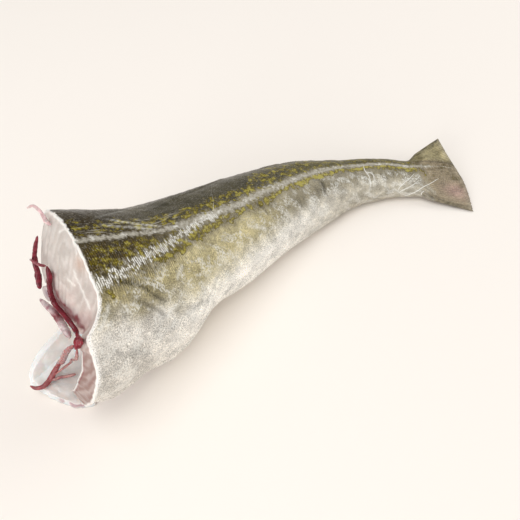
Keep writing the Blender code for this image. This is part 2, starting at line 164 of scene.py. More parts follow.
# the skin's pattern, by distance behind the nape: angle of the lateral line, where the
# dark back ends, where the olive spots end, and where the silver belly begins
PATTERN_AT = (-0.04, 0.0, 0.04, 0.08, 0.12, 0.16, 0.2, 0.24, 0.28, 0.32, 0.36, 0.4, 0.44)
LINE_DEG = (37.0, 37.5, 38.5, 42.5, 48.0, 57.0, 63.0, 66.0, 67.0, 65.0, 63.0, 65.0, 71.0)
BACK_END_DEG = (33, 33, 34, 38, 43, 51, 57, 60, 61, 59, 57, 58, 62)
SPOTS_END_DEG = (64, 63, 62, 65, 67, 73, 79, 79, 79, 79, 82, 86, 93)
SILVER_DEG = (74, 78, 86, 92, 97, 101, 107, 107, 106, 104, 104, 106, 112)
# painted highlight along a row of scales: places behind the nape and its angles
GLINT_AT = (-0.012, 0.0, 0.02, 0.04, 0.06, 0.08, 0.1, 0.12, 0.14, 0.16)
GLINT_DEG = (64.0, 62.0, 59.0, 56.3, 54.0, 52.5, 51.0, 51.5, 53.5, 57.5)

# creases of the skin, also darkened with painted shade: places behind the nape and angles, then width and
# depth
CREASES = (
    (((0.003, 62), (0.015, 67.5), (0.024, 71), (0.03, 76.5), (0.037, 83.5), (0.045, 88)), 0.0018, 0.0022),
    (((0.01, 74), (0.022, 81), (0.034, 90), (0.04, 98)), 0.0026, 0.0012),
    (((0.19, 68), (0.195, 80), (0.198, 92)), 0.0024, 0.0012),
    (((0.298, 82), (0.297, 95), (0.293, 110)), 0.0026, 0.0013),
    (((-0.02, 92), (-0.008, 100), (0.008, 106)), 0.003, 0.0005),
    (((0.055, 96), (0.072, 104), (0.092, 108)), 0.003, 0.0005),
    (((0.078, 118), (0.088, 108), (0.1, 100), (0.11, 95)), 0.0024, 0.0005),
    (((0.066, 114), (0.078, 104), (0.086, 96)), 0.0022, 0.0003),
    (((-0.018, 128), (0.0, 135), (0.022, 139), (0.05, 139), (0.078, 131)), 0.0012, 0.0011),
)
# streaks of painted wet highlight on the left flank: places and angles, then width and strength
HIGHLIGHT_STREAKS = (
    (((0.028, 21), (0.045, 27), (0.062, 33), (0.08, 39)), 0.0009, 0.75),
    (((0.016, 27), (0.036, 31), (0.055, 36), (0.074, 41)), 0.0008, 0.6),
    (((0.04, 31), (0.056, 35), (0.068, 39)), 0.0007, 0.6),
    (((0.088, 55), (0.095, 62), (0.099, 70)), 0.0009, 0.4),
    (((0.162, 80), (0.172, 88), (0.188, 101)), 0.0016, 0.6),
    (((0.058, 78), (0.066, 73), (0.072, 71)), 0.0016, 0.6),
    (((-0.022, 84), (-0.012, 78), (-0.006, 72)), 0.0013, 0.6),
    (((0.222, 98), (0.225, 108)), 0.002, 0.6),
    (((0.33, 88), (0.336, 96), (0.34, 106)), 0.0016, 0.5),
)
# rays that stand out on the skin behind the vent, as tracks in mm seen from above
FIN_RAYS = (
    ((181.3, 9.2), (186.3, 11.4), (195.6, 13.6), (205.0, 15.6), (215.7, 19.5)),
    ((182.1, 8.0), (190.9, 7.1), (199.6, 6.6), (210.5, 7.7)),
    ((185.7, 5.3), (194.4, 0.7), (204.4, -1.4), (219.9, 0.0), (242.8, 2.9)),
    ((205.8, -7.0), (206.6, -5.8), (210.7, -5.2)),
    ((158.9, 50.0), (155.9, 43.3), (155.9, 36.2), (154.0, 29.4), (150.4, 24.1)),
    ((155.3, 40.5), (161.9, 38.0), (161.4, 32.1), (154.3, 23.1)),
    ((152.9, 33.2), (152.7, 26.4)),
)
FIN_RAY_RADIUS = 0.00042
# where the tail's upper lobe folds up, from the fin's root to its edge
FOLD_AT = (0.0, 0.07, 0.23, 0.48, 0.72, 1.0)
FOLD_ACROSS = (0.86, 0.79, 0.66, 0.59, 0.48, 0.32)
# the lateral line on the tail, from the fin's root on
TAIL_LINE_AT = (0.0, 0.1, 0.4, 0.72, 0.93)
TAIL_LINE_ACROSS = (0.34, 0.41, 0.35, 0.3, 0.2)
TAIL_RAYS = 11
TAIL_STRIPES = 24
# folded fins, lying to the left: start, end, angle of the base, of the free edge at its front and
# hind end, thickness
FOLDED_FINS = (
    (0.012, 0.076, 4.0, 24.0, 5.0, 0.001),
    (0.088, 0.205, 5.0, 20.0, 8.0, 0.001),
    (0.228, 0.33, 8.0, 20.0, 12.0, 0.0008),
    (0.092, 0.205, 176.0, 164.0, 172.0, 0.0009),
    (0.232, 0.345, 174.0, 160.0, 170.0, 0.0009),
)

FOLDED_RAY_PITCH = 0.0034
SCALE_PITCH = 0.0019

# width of the white edge that the cut leaves on the skin, by angle
RIM_ANGLE = (-184, -120, -40, 30, 50, 62, 72, 84, 96, 112, 140, 174)
RIM_WIDTH = (0.0006, 0.0008, 0.0006, 0.0006, 0.0008, 0.0015, 0.0028, 0.0034, 0.003, 0.0022, 0.0016,
             0.0014)
# the wet vessel's track on the cut, as offsets towards the left flank and towards the back
VESSEL_TRACK = ((0.0146, 0.0467), (0.0133, 0.0385), (0.0137, 0.031), (0.0149, 0.0252), (0.0231, 0.0189),
                (0.0356, 0.013), (0.044, 0.006))
# pale seams on the near muscle, as offsets of the same kind
SEAMS = (((0.0395, 0.053), (0.044, 0.043), (0.05, 0.033), (0.052, 0.024)),
         ((0.03, 0.048), (0.035, 0.043), (0.0395, 0.0415)),
         ((0.02, 0.079), (0.029, 0.083), (0.038, 0.076), (0.043, 0.066)))

# painted highlights on the wet lining, as white spots: places and reaches
PAINTED_LINING_GLINTS = (
    ((-0.2499, 0.0081, 0.0102), (0.001, 0.0026, 0.003)),
    ((-0.2478, 0.0043, 0.0084), (0.0016, 0.0014, 0.003)),
    ((-0.2461, 0.0009, 0.0083), (0.0009, 0.0022, 0.003)),
    ((-0.2441, -0.0016, 0.0082), (0.002, 0.001, 0.003)),
    ((-0.2374, -0.0045, 0.008), (0.001, 0.003, 0.003)),
    ((-0.2483, 0.0122, 0.0141), (0.0009, 0.0028, 0.003)),
)
# middle of each muscle lobe on the cut, how the lobe is squeezed, and the layers' thickness
LOBE_AT = (0.029, 0.06)
LOBE_SQUEEZE = (1.25, 0.72)
LAYER = 0.0068

# colours, linear
BACK_FRONT = (0.023, 0.014, 0.002)
BACK_MID = (0.062, 0.053, 0.028)
BACK_REAR = (0.072, 0.06, 0.016)
LINE_COLOUR = (0.47, 0.435, 0.36)
UNDER_FRONT = (0.046, 0.03, 0.004)
UNDER_REAR = (0.2, 0.172, 0.105)
BEIGE = (0.49, 0.425, 0.235)
BEIGE_FRONT = (0.29, 0.245, 0.125)
BEIGE_REAR = (0.25, 0.22, 0.15)
SILVER = (0.93, 0.895, 0.825)
SILVER_FRONT = (0.67, 0.63, 0.57)
SILVER_REAR = (0.44, 0.4, 0.32)
SPECK_DARK = (0.26, 0.215, 0.14)
OLIVE_DEEP = (0.075, 0.054, 0.001)
OLIVE_BRIGHT = (0.165, 0.125, 0.005)
OLIVE_GOLD = (0.4, 0.34, 0.045)
# near-white of the painted highlights; the pale fin rays are drawn in it too
GLINT_COLOUR = (0.88, 0.86, 0.8)
RIM_COLOUR = (0.88, 0.845, 0.795)
FLESH_PALE = (0.59, 0.53, 0.485)
FLAP_SMEAR = (0.42, 0.25, 0.275)
FLESH_CLEAR = (0.5, 0.44, 0.395)
FLESH_PINK = (0.59, 0.425, 0.385)
FLESH_ORANGE = (0.59, 0.4, 0.31)
FLAP_FLESH = (0.275, 0.155, 0.132)
BLOOD = (0.21, 0.02, 0.03)
BRUISE = (0.33, 0.23, 0.24)
MEMBRANE = (0.905, 0.89, 0.865)
MEMBRANE_LOW = (0.7, 0.65, 0.615)
FIN_UPPER = (0.35, 0.3, 0.17)
FIN_LOWER = (0.29, 0.235, 0.155)
FIN_ROOT = (0.47, 0.42, 0.33)
FIN_PINK = (0.52, 0.33, 0.29)
BONE_PALE = (0.62, 0.52, 0.5)
BONE_PURPLE = (0.3, 0.21, 0.24)
FLOOR_COLOUR = (0.95, 0.89, 0.825)
WHITE = (1.0, 1.0, 1.0)

# the body's material slots, and the markings on the points with their numbers of values
SKIN, FLESH, LINING = range(3)
MARKS = {"tone": 3, "flow": 3, "section": 3, "spots": 1, "rows": 1, "lateral": 1, "glint": 1, "streak": 1,
         "fray": 1, "silver": 1, "fin": 1, "ray": 1}
STORED_AS = {1: ("FLOAT", "value"), 3: ("FLOAT_VECTOR", "vector"), 4: ("FLOAT_COLOR", "color")}

# studio lights: place, what each looks at, size and power
LIGHTS = {
    "key": ((-1.15, -0.6, 3.4), (0.0, 0.0, 0.0), (2.8, 2.8), 54.0),
    "strip": ((2.7, 0.2, 1.45), (0.0, 0.0, 0.05), (3.0, 0.55), 21.0),
    "fill": ((-2.3, -1.1, 1.0), (-0.2, 0.0, 0.05), (1.6, 1.2), 21.0),
}
SKY_STRENGTH = 0.55
FLOOR_REACH = 6.0
FLOOR_DROP = 0.0002


def smooth(knots, values, at):
    """Cubic curve through the given values."""
    k = np.asarray(knots, float)
    v = np.asarray(values, float)
    slope = np.gradient(v, k)
    x = np.clip(np.asarray(at, float), k[0], k[-1])
    i = np.clip(np.searchsorted(k, x, side="right") - 1, 0, len(k) - 2)
    h = k[i + 1] - k[i]
    t = (x - k[i]) / h
    near = (2 * t ** 3 - 3 * t ** 2 + 1) * v[i] + (t ** 3 - 2 * t ** 2 + t) * h * slope[i]
    return near + (3 * t ** 2 - 2 * t ** 3) * v[i + 1] + (t ** 3 - t ** 2) * h * slope[i + 1]


def ease(t):
    """Soft step from 0 to 1."""
    t = np.clip(t, 0.0, 1.0)
    return t * t * (3 - 2 * t)


def bell(x, middle, width):
    """Smooth hump of height 1."""
    return np.exp(-((x - middle) / width) ** 2)


def unit(v):
    return v / np.maximum(np.linalg.norm(v, axis=-1, keepdims=True), 1e-12)


def ripple(points, wavelength, seed, waves=18):
    """Smooth random field over points, about -1 to 1."""
    draw = np.random.default_rng(seed)
    way = unit(draw.normal(size=(waves, points.shape[-1])))
    rate = 2 * np.pi / wavelength * draw.uniform(0.6, 1.5, waves)
    phase = draw.uniform(0, 2 * np.pi, waves)
    total = np.zeros(points.shape[:-1])
    for k in range(waves):
        total += np.sin(points @ (way[k] * rate[k]) + phase[k])
    return total / math.sqrt(waves / 2) / 1.6


def mix(a, b, share):
    """Colour a with a share of colour b."""
    share = np.clip(np.asarray(share, float), 0, 1)[..., None]
    return np.asarray(a, float) * (1 - share) + np.asarray(b, float) * share


def layered(tone, *coats):
    """Colour under coats of other colours, each with its share."""
    for colour, share in coats:
        tone = mix(tone, colour, share)
    return tone


class Spine:
    """Centre line of the fish and the directions across it."""

    def __init__(self):
        self.s = np.linspace(STATIONS[0], TAIL_BASE, 500)
        step = self.s[1] - self.s[0]
        heading = np.radians(smooth(STATIONS, HEADING_DEG, self.s))
        roll = np.radians(smooth(STATIONS, ROLL_DEG, self.s))
        a = smooth(STATIONS, HALF_DEPTH, self.s)
        b = smooth(STATIONS, HALF_WIDTH, self.s)
        height = np.hypot(a * np.sin(roll), b * np.cos(roll)) - SINK
        climb = np.gradient(height, self.s)
        level = np.sqrt(1 - climb ** 2)
        run = np.stack([np.cos(heading) * level, np.sin(heading) * level], 1)
        path = np.vstack([[0, 0], np.cumsum((run[1:] + run[:-1]) / 2 * step, 0)])
        self.centre = np.column_stack([path, height]) - np.array(NAPE_AT)
        self.along = np.column_stack([run, climb])
        side = np.column_stack([-np.sin(heading), np.cos(heading), 0 * heading])
        lift = np.cross(self.along, side)
        self.side = side
        self.back = np.cos(roll)[:, None] * side + np.sin(roll)[:, None] * lift
        self.flank = np.cross(self.along, self.back)

    def at(self, table, s):
        return np.stack([np.interp(s, self.s, table[:, k]) for k in range(3)], -1)

    def point(self, s, u, v):
        """Point beside the centre line, u towards the left flank and v towards the back."""
        across = u[..., None] * self.at(self.flank, s)
        return self.at(self.centre, s) + across + v[..., None] * self.at(self.back, s)


SPINE = Spine()
NAPE = SPINE.at(SPINE.centre, 0.0)
NAPE_AXES = np.stack([SPINE.at(way, 0.0) for way in (SPINE.along, SPINE.flank, SPINE.back)])


def skin(s, angle):
    """Point of the smooth skin at a distance along the back and an angle round it."""
    s = np.asarray(s, float)
    rad = np.radians(angle)
    u = smooth(STATIONS, HALF_WIDTH, s) * np.sin(rad)
    v = smooth(STATIONS, HALF_DEPTH, s) * np.cos(rad)
    return settle(SPINE.point(s, u, v), s, angle)


def belly_line(s, angle):
    """How far a place follows the belly line, where the slit runs."""
    near = ease((angle - 105.0) / 60.0)
    far = ease((-angle - 140.0) / 40.0) * ease((s + 0.012) / 0.02)
    return near + far


def settle(p, s, angle):
    """The right belly flap spreads flat, the left one hangs, nothing sinks in the table."""
    angle = np.asarray(angle, float)
    front = 1 - ease((s - 0.03) / 0.11)
    far = ease((-angle - 60.0) / 50.0) * front
    low = bell(p[..., 2], 0.016, 0.022)
    near = ease((angle - 105.0) / 60.0)
    curl = near * FLAP_CURL * ease(-s / 0.035)
    flare = near * FLAP_FLARE * ease((s - 0.02) / 0.035) * ease((0.105 - s) / 0.035)
    side = SPINE.at(SPINE.side, s)
    tuck = BELLY_TUCK * belly_line(s, angle) * ease((0.17 - s) / 0.07)
    p = p + (FLAP_SPREAD * far * low + curl + tuck - flare)[..., None] * side
    p[..., 2] -= 0.014 * far * low + 0.7 * flare
    p[..., 2] = np.maximum(p[..., 2], 0.0)
    return p


def inward(s, angle):
    """Direction square to the skin, towards the inside of the ring."""
    ahead = skin(s, angle - 2.0)
    behind = skin(s, angle + 2.0)
    return unit(np.cross(SPINE.at(SPINE.along, s), unit(behind - ahead)))


def flap_lining(s, angle):
    wall = np.interp(angle, WALL_ANGLE, WALL_THICK)
    wall = wall + LIP_SWELL * bell(angle, 113.0, 21.0) * ease((0.012 - s) / 0.024)
    p = skin(s, angle) + wall[..., None] * inward(s, angle)
    p[..., 2] = np.maximum(p[..., 2], 0.0035)
    return p


def roof_lining(s, angle):
    share = np.clip(angle / NECK_ANGLE, -1, 1)
    b = smooth(STATIONS, HALF_WIDTH, s) / HALF_WIDTH[1]
    u = ROOF_HALF_WIDTH * share * b
    return SPINE.point(s, u, ROOF_HEIGHT * b - ROOF_FALL * np.abs(u))


def lining(s, angle):
    """Point of the belly hollow's wall that faces the skin point."""
    s = np.broadcast_to(np.asarray(s, float), np.shape(angle))
    blend = ease((np.abs(angle) - 70.0) / 28.0)[..., None]
    return (1 - blend) * roof_lining(s, angle) + blend * flap_lining(s, angle)


def ring_angles():
    """Angles round the body from the left slit edge over the back to the right edge."""
    left = np.linspace(SLIT_NEAR_DEG, -10.0, LEFT_COLUMNS)
    right = np.linspace(-10.0, SLIT_FAR_DEG, RIGHT_COLUMNS)
    return np.concatenate([left, right[1:]])


ANGLES = ring_angles()


def slit_open(s, angles):
    """Angles of one ring: at the cut the left flap ends short of the belly line."""
    return angles - SLIT_GAP_DEG * ease((angles - 120.0) / 54.0) * ease((VENT - s) / VENT)


def girth(s):
    """Mean radius of the body."""
    return 0.5 * (smooth(STATIONS, HALF_DEPTH, s) + smooth(STATIONS, HALF_WIDTH, s))


def flat_map(s, angle):
    """Place on the skin as lengths: along the back and round the body."""
    return np.stack([s, np.radians(angle) * girth(s)], -1)


def near_line(path, s, angle):
    """Distance from a line on the skin, and how far along it, 0 to 1."""
    knots = np.array([flat_map(np.array(q[0]), np.array(float(q[1]))) for q in path])
    spot = flat_map(s, angle)
    best = np.full(s.shape, 1.0)
    share = np.zeros(s.shape)
    count = len(knots) - 1
    for i in range(count):
        step = knots[i + 1] - knots[i]
        t = np.clip(((spot - knots[i]) @ step) / (step @ step), 0, 1)
        gap = np.linalg.norm(spot - knots[i] - t[..., None] * step, axis=-1)
        closer = gap < best
        best = np.where(closer, gap, best)
        share = np.where(closer, (i + t) / count, share)
    return best, share


def fade_ends(share, ends=0.22):
    return ease(share / ends) * ease((1 - share) / ends)


def crease_depth(s, angle):
    """Folds of the skin, as depths below it with a soft welt on each side."""
    deep = np.zeros(s.shape)
    for path, width, depth in CREASES:
        gap, share = near_line(path, s, angle)
        x = gap / width
        deep += depth * fade_ends(share) * (bell(x, 0, 1) - 0.45 * bell(x, 2.1, 0.9))
    return deep


def creased(s, angle):
    """How deep in a crease a place lies, 0 to 1; it sets the painted shade in the creases."""
    return np.clip(crease_depth(s, angle) / 0.0011, 0, 1)


def streak_mask(s, angle):
    """Strength of the streaks of painted wet highlight, which are also a little raised."""
    total = np.zeros(s.shape)
    for path, width, strength in HIGHLIGHT_STREAKS:
        gap, share = near_line(path, s, angle)
        total = np.maximum(total, strength * fade_ends(share, 0.15) * bell(gap, 0, width))
    return total


def folded_fins(s, angle):
    """Fins that lie folded on the skin: their height, and the first one's pale free edge."""
    height = np.zeros(s.shape)
    edge = None
    mirror = np.where(angle < -90, angle + 360, angle)
    for start, end, base, tip_front, tip_hind, thick in FOLDED_FINS:
        along = np.clip((s - start) / (end - start), 0, 1)
        tip = tip_front + (tip_hind - tip_front) * along ** 0.8
        low = np.minimum(base, tip)
        high = np.maximum(base, tip)
        if tip_front > base:
            free = high
            inside = ease((mirror - low + 3.0) / 4.0) * ease((high - mirror) / 2.2)
        else:
            free = low
            inside = ease((mirror - low) / 1.6) * ease((high + 3.0 - mirror) / 4.0)
        span = ease((s - start) / 0.022) * ease((end - s) / 0.020)
        rays = 0.75 + 0.25 * np.cos((s + np.radians(mirror - base) * 0.05) * 2 * np.pi / FOLDED_RAY_PITCH)
        height = np.maximum(height, thick * inside * span * rays)
        if edge is None:
            edge = bell(mirror, free, 0.9) * span
    return height, edge


def skin_relief(s, angle, points):
    """Height of the skin's own relief."""
    fins, _ = folded_fins(s, angle)
    soft = 0.00030 * ripple(points, 0.030, 11) + 0.00016 * ripple(points, 0.010, 12)
    belly = ease((np.abs(angle) - 80.0) / 30.0) * ease((0.12 - s) / 0.08)
    soft = soft * (1 + 1.4 * belly)
    line = np.interp(s, PATTERN_AT, LINE_DEG)
    groove = 0.0003 * bell(np.abs(angle), line, 2.2)
    return fins + soft - crease_depth(s, angle) - groove + 0.0004 * streak_mask(s, angle) - 0.0004


def skin_grid():
    """Rings of skin with relief, from the ragged cut to the tail base."""
    t = np.linspace(0, 1, SKIN_RINGS)
    s = (0.35 * t + 0.65 * t ** 1.25) * TAIL_BASE
    fade = (1 - ease(s / 0.085))[:, None]
    arc = ANGLES[:, None] * 0.0014
    ragged = 0.0003 * ripple(arc, 0.006, 5) + 0.0004 * ripple(arc, 0.0022, 6)
    place = s[:, None] + smooth(CUT_ANGLE, CUT_PLACE, ANGLES)[None, :] * fade
    place = place + ragged[None, :] * np.exp(-s / 0.004)[:, None]
    turn = slit_open(s[:, None], ANGLES[None, :])
    flat = skin(place, turn)
    return s, place, turn, raise_by(flat, place, skin_relief(place, turn, flat))


def raise_by(grid, place, height):
    """Move a grid of skin points along its outward normals."""
    outward = unit(np.cross(np.gradient(grid, axis=1), np.gradient(grid, axis=0)))
    middle = SPINE.at(SPINE.centre, place)
    if ((grid - middle) * outward).sum() < 0:
        outward = -outward
    lifted = grid + height[..., None] * outward
    lifted[..., 2] = np.maximum(lifted[..., 2], 0.0)
    return lifted


def hollow_grid(s, place, turn, count):
    """Rings of the belly hollow, closing down to a low arch at the end of the slit."""
    ahead = np.interp(ANGLES, LIP_ANGLE, LIP_AHEAD)
    sweep_round = np.linspace(0, np.pi, len(ANGLES))[:, None]
    end = s[count - 1]
    rows = []
    for i in range(count):
        here = lining(place[i] - ahead * (1 - ease(s[i] / 0.06)), turn[i])
        sill = 0.5 * (here[0] + here[-1])
        arch = sill + np.cos(sweep_round) * (here[0] - sill)
        arch = arch + ARCH_HEIGHT * np.sin(sweep_round) * SPINE.at(SPINE.back, s[i])
        rows.append(here + (arch - here) * ease((s[i] / end - 0.55) / 0.45))
    grid = np.array(rows)
    wrinkle = 0.0004 * ripple(grid, 0.016, 31) + 0.0002 * ripple(grid, 0.006, 32)
    grid[1:-1, 1:-1] += (wrinkle[..., None] * np.array([0.3, 0.5, 0.8]))[1:-1, 1:-1]
    return grid


def tail_grid(base):
    """Rings of the tail fin from its fleshy base to the thin hind edge, with raised rays."""
    rad = np.radians(ANGLES)
    across = np.cos(rad)
    face = np.sin(rad)
    heading = np.radians(TAIL_HEADING_DEG)
    ahead = np.array([np.cos(heading), np.sin(heading), 0.0])
    side = np.array([-np.sin(heading), np.cos(heading), 0.0])
    roll = np.radians(np.where(across > 0, TAIL_UPPER_ROLL_DEG, TAIL_LOWER_ROLL_DEG))
    spread = np.cos(roll)[:, None] * side + np.sin(roll)[:, None] * np.array([0, 0, 1.0])
    reach = smooth(TAIL_ACROSS, TAIL_REACH, across)
    nick = 0.5 + 0.5 * ripple(across[:, None], 0.09, 41)
    tip = np.where(across > 0, TAIL_UPPER, TAIL_LOWER)[:, None] * spread
    foot = HALF_DEPTH[-1] * SPINE.back[-1]
    root = SPINE.centre[-1]
    rays = np.cos(across * 2 * np.pi * TAIL_RAYS) * ease((0.985 - np.abs(across)) / 0.05)
    rows = []
    for k in range(1, FIN_RINGS + 1):
        t = k / FIN_RINGS
        thick = TAIL_EDGE + (HALF_WIDTH[-1] - TAIL_EDGE) * (1 - t) ** 2.6
        far = reach * t - 0.0006 * nick * ease((t - 0.8) / 0.2)
        blade = root + ahead * far[:, None] + (foot + (tip - foot) * t) * across[:, None]
        fold = across - np.interp(t, FOLD_AT, FOLD_ACROSS)
        step = 0.0007 * ease((fold + 0.02) / 0.06) - 0.0006 * bell(fold, -0.04, 0.04)
        relief = (0.00022 * rays * np.sign(face) + step) * ease(t / 0.3) * ease((1.02 - t) / 0.3)
        floor = np.where(face > 0, 2 * TAIL_EDGE, 0.0)
        blade[:, 2] = np.maximum(blade[:, 2] + thick * face + relief, floor)
        keep = ease(1 - t * 3.0)
        start = base + ahead * (reach * t)[:, None]
        rows.append(blade * (1 - keep) + start * keep)
    return np.array(rows)


def cap_shares():
    """Where the rows of a cut face lie between skin and hollow, closer together at the skin."""
    return (np.arange(1, CAP_ROWS) / CAP_ROWS) ** CAP_CROWDING


def cap_grid(rim, lip):
    """Rows of the cut face between the skin and the belly hollow."""
    ahead = -SPINE.along[0]
    middle = bell(ANGLES, -6.0, 42.0)[:, None]
    t = cap_shares()[:, None, None]
    grid = rim + (lip - rim) * t + CUT_BULGE * np.sin(np.pi * t) * middle * ahead
    u, v, _ = section_place(grid)
    bands = muscle_rings(u, v)
    bump = 0.00012 * np.cos(bands * 2 * np.pi) + 0.00030 * ripple(grid, 0.012, 21)
    edge = np.linalg.norm(grid - rim, axis=-1)
    lip_edge = np.linalg.norm(grid - lip, axis=-1)
    bump = bump * ease(edge / 0.004) * ease(lip_edge / 0.004)
    bump = bump + 0.0007 * bell(edge, 0.0016, 0.0012)
    bone = np.hypot(u, v - bone_rise(BONE_START))
    bump = bump - 0.0024 * ease((0.0086 - bone) / 0.0022)
    return grid + bump[..., None] * ahead


def section_place(points):
    """Offsets to the left flank, towards the back and along the fish, from the nape section."""
    return [(points - NAPE) @ NAPE_AXES[k] for k in (1, 2, 0)]


def muscle_rings(u, v):
    """Number of the muscle layer at a place of the cut, counted from the middle of the lobe."""
    return np.hypot((np.abs(u) - LOBE_AT[0]) * LOBE_SQUEEZE[0], (v - LOBE_AT[1]) * LOBE_SQUEEZE[1]) / LAYER


def bone_rise(s):
    share = BONE_HEIGHT - BONE_DROP * s / TAIL_BASE
    return smooth(STATIONS, HALF_DEPTH, s) * share * ease((s + 0.2) / 0.2)


def bone_line(s):
    """Centre line of the backbone."""
    return SPINE.at(SPINE.centre, s) + bone_rise(s)[:, None] * SPINE.at(SPINE.back, s)


def line_gap(points, path):
    """Distance of flat points from a bent line."""
    best = np.full(points.shape[:-1], 1.0)
    for start, end in zip(path[:-1], path[1:]):
        start = np.asarray(start)
        step = np.asarray(end) - start
        t = np.clip(((points - start) @ step) / (step @ step), 0, 1)
        best = np.minimum(best, np.linalg.norm(points - start - t[..., None] * step, axis=-1))
    return best


def pattern(s):
    """Angles of the lateral line and of the ends of back, olive spots and beige."""
    return [np.interp(s, PATTERN_AT, edge) for edge in (LINE_DEG, BACK_END_DEG, SPOTS_END_DEG, SILVER_DEG)]


def skin_tone(s, a, edges):
    """Colour from the dark back over the beige flank to the silver belly."""
    _, back_end, spots_end, silver = edges
    front = ease((s - 0.01) / 0.09)
    back = layered(BACK_FRONT, (BACK_MID, ease(s / 0.09)), (BACK_REAR, ease((s - 0.2) / 0.1)))
    under = mix(UNDER_FRONT, UNDER_REAR, ease((s - 0.03) / 0.12))
    beige = layered(BEIGE_FRONT, (BEIGE, front), (BEIGE_REAR, ease((s - 0.16) / 0.09)))
    light = layered(SILVER_FRONT, (SILVER, front), (SILVER_REAR, ease((s - 0.18) / 0.18)))
    light_from = 0.5 * (spots_end + silver)
    return layered(back, (under, ease((a - back_end + 5) / 9)), (beige, ease((a - spots_end + 7) / 14)),
                   (light, ease((a - light_from) / (silver - spots_end + 6))))


def olive_cover(s, a, edges):
    """How thickly olive spots cover the skin."""
    line, back_end, spots_end, _ = edges
    hind = ease((s - 0.17) / 0.08)
    front = 0.15 * ease((0.045 - s) / 0.04)
    above = ease((a - back_end + 17 + 26 * hind) / 9) * ease((line - a - 0.5) / 3) * (0.80 - 0.14 * hind)
    below = ease((a - line - 1.5) / 3) * ease((spots_end + 3 - a) / 7)
    stripe = bell(a, line + 9, 5.5) * ease((s - 0.17) / 0.05)
    row = bell(a, 62, 3.2) * ease((s - 0.03) / 0.02) * ease((0.13 - s) / 0.03)
    nape = bell(s, -0.002, 0.004) * bell(a, 68, 3.5)
    below = below * (0.74 - 0.3 * stripe - front)
    return np.maximum.reduce([above * (0.80 - front), below, stripe * 0.98, row, nape])


def skin_paint(s, angle, points):
    """Colour of the skin and the masks of its markings."""
    a = np.abs(angle) + 2.2 * ripple(points, 0.030, 51) + 1.2 * ripple(points, 0.009, 52)
    a = np.where(a > 180, 360 - a, a)
    edges = pattern(s)
    line = edges[0]
    # painted shade in the creases
    tone = skin_tone(s, a, edges) * (1 - 0.48 * creased(s, angle))[..., None]
    behind = s - smooth(CUT_ANGLE, CUT_PLACE, ANGLES) + 0.0007 * ripple(points, 0.0035, 55)
    rim = np.interp(angle, RIM_ANGLE, RIM_WIDTH)
    tone = mix(tone, RIM_COLOUR, ease((rim - behind) / 0.0009))
    spots = olive_cover(s, a, edges) * ease((behind - rim - 0.0005) / 0.001)
    clear = ease((behind - rim) / 0.0022)
    rear = ease((s - 0.05) / 0.12)
    rows = clear * (ease((a - 34) / 10) * ease((84 - a) / 14) * (1 - rear) * 0.9 + 0.1)
    lateral = (np.abs(angle) - line) / (1.5 + 2.0 * rear + 0.6 * ease((s - 0.3) / 0.1))
    fray = clear * ease((a - 23) / 5) * ease((line + 1 - a) / 3)
    fray = fray * ease((s + 0.01) / 0.02) * ease((0.13 - s) / 0.05)
    return tone, spots, rows, lateral, fray, clear


def glint_offset(s, angle):
    """Distance from the painted highlight along the row of scales, in widths of it."""
    centre = np.interp(s, GLINT_AT, GLINT_DEG)
    offset = (angle - centre) / 4.2
    away = 9.0 * (ease((s - 0.13) / 0.04) + ease((-0.014 - s) / 0.01) + (angle < 0))
    return np.where(np.abs(offset) > away, offset, away)


def blob(u, v, at, radius):
    return np.exp(-((u - at[0]) ** 2 + (v - at[1]) ** 2) / radius ** 2)


def flesh_paint(points, rim, lip, angle):
    """Colour of the cut face."""
    u, v, _ = section_place(points)
    flat = np.stack([u, v], -1)
    tone = layered(
        FLESH_PALE,
        (FLESH_PINK, ease((0.066 - v) / 0.070)),
        (FLESH_CLEAR, 0.55 * ease(0.5 + ripple(points, 0.022, 61))),
        (FLESH_ORANGE, 0.7 * blob(np.abs(u), v, (0.046, 0.058), 0.0060)),
        *((RIM_COLOUR, 0.75 * bell(line_gap(flat, seam), 0, 0.0009)) for seam in SEAMS),
        (FLAP_FLESH, 0.92 * ease((angle - 86.0) / 10.0)),
        (MEMBRANE, ease((-angle - 92.0) / 12.0)),
        (BRUISE, 0.8 * blob(u, v, (0.0, 0.026), 0.0105)))
    track = line_gap(flat, VESSEL_TRACK) * (1 + 0.35 * ripple(points, 0.008, 63))
    lower = ease((0.040 - v) / 0.020) * ease((v - 0.008) / 0.010)
    under = ease((-angle - 150.0) / 12.0) * ease((184.0 + angle) / 6.0)
    near = ease((angle - 86.0) / 8.0) * ease((150.0 - angle) / 10.0)
    edge = np.linalg.norm(points - rim, axis=-1)
    inner = np.linalg.norm(points - lip, axis=-1)
    return layered(
        tone,
        # halo round the vessel's track: partly a blood smear, partly painted shadow of the vessel
        (BRUISE, 0.75 * bell(track, 0, 0.0075) * lower),
        (BLOOD, 0.9 * np.exp(-(track / (0.0024 + 0.0022 * lower)) ** 4)),
        (FLAP_SMEAR, 0.85 * under * ease(0.80 + ripple(points, 0.014, 62))),
        (BLOOD, 0.55 * near * bell(inner, 0.0021, 0.0007)),
        (RIM_COLOUR, 0.8 * near * ease((0.0015 - inner) / 0.0008)),
        (RIM_COLOUR, ease((0.0034 - edge) / 0.0020) * (1 - 0.6 * ease((-angle - 90.0) / 20.0))))


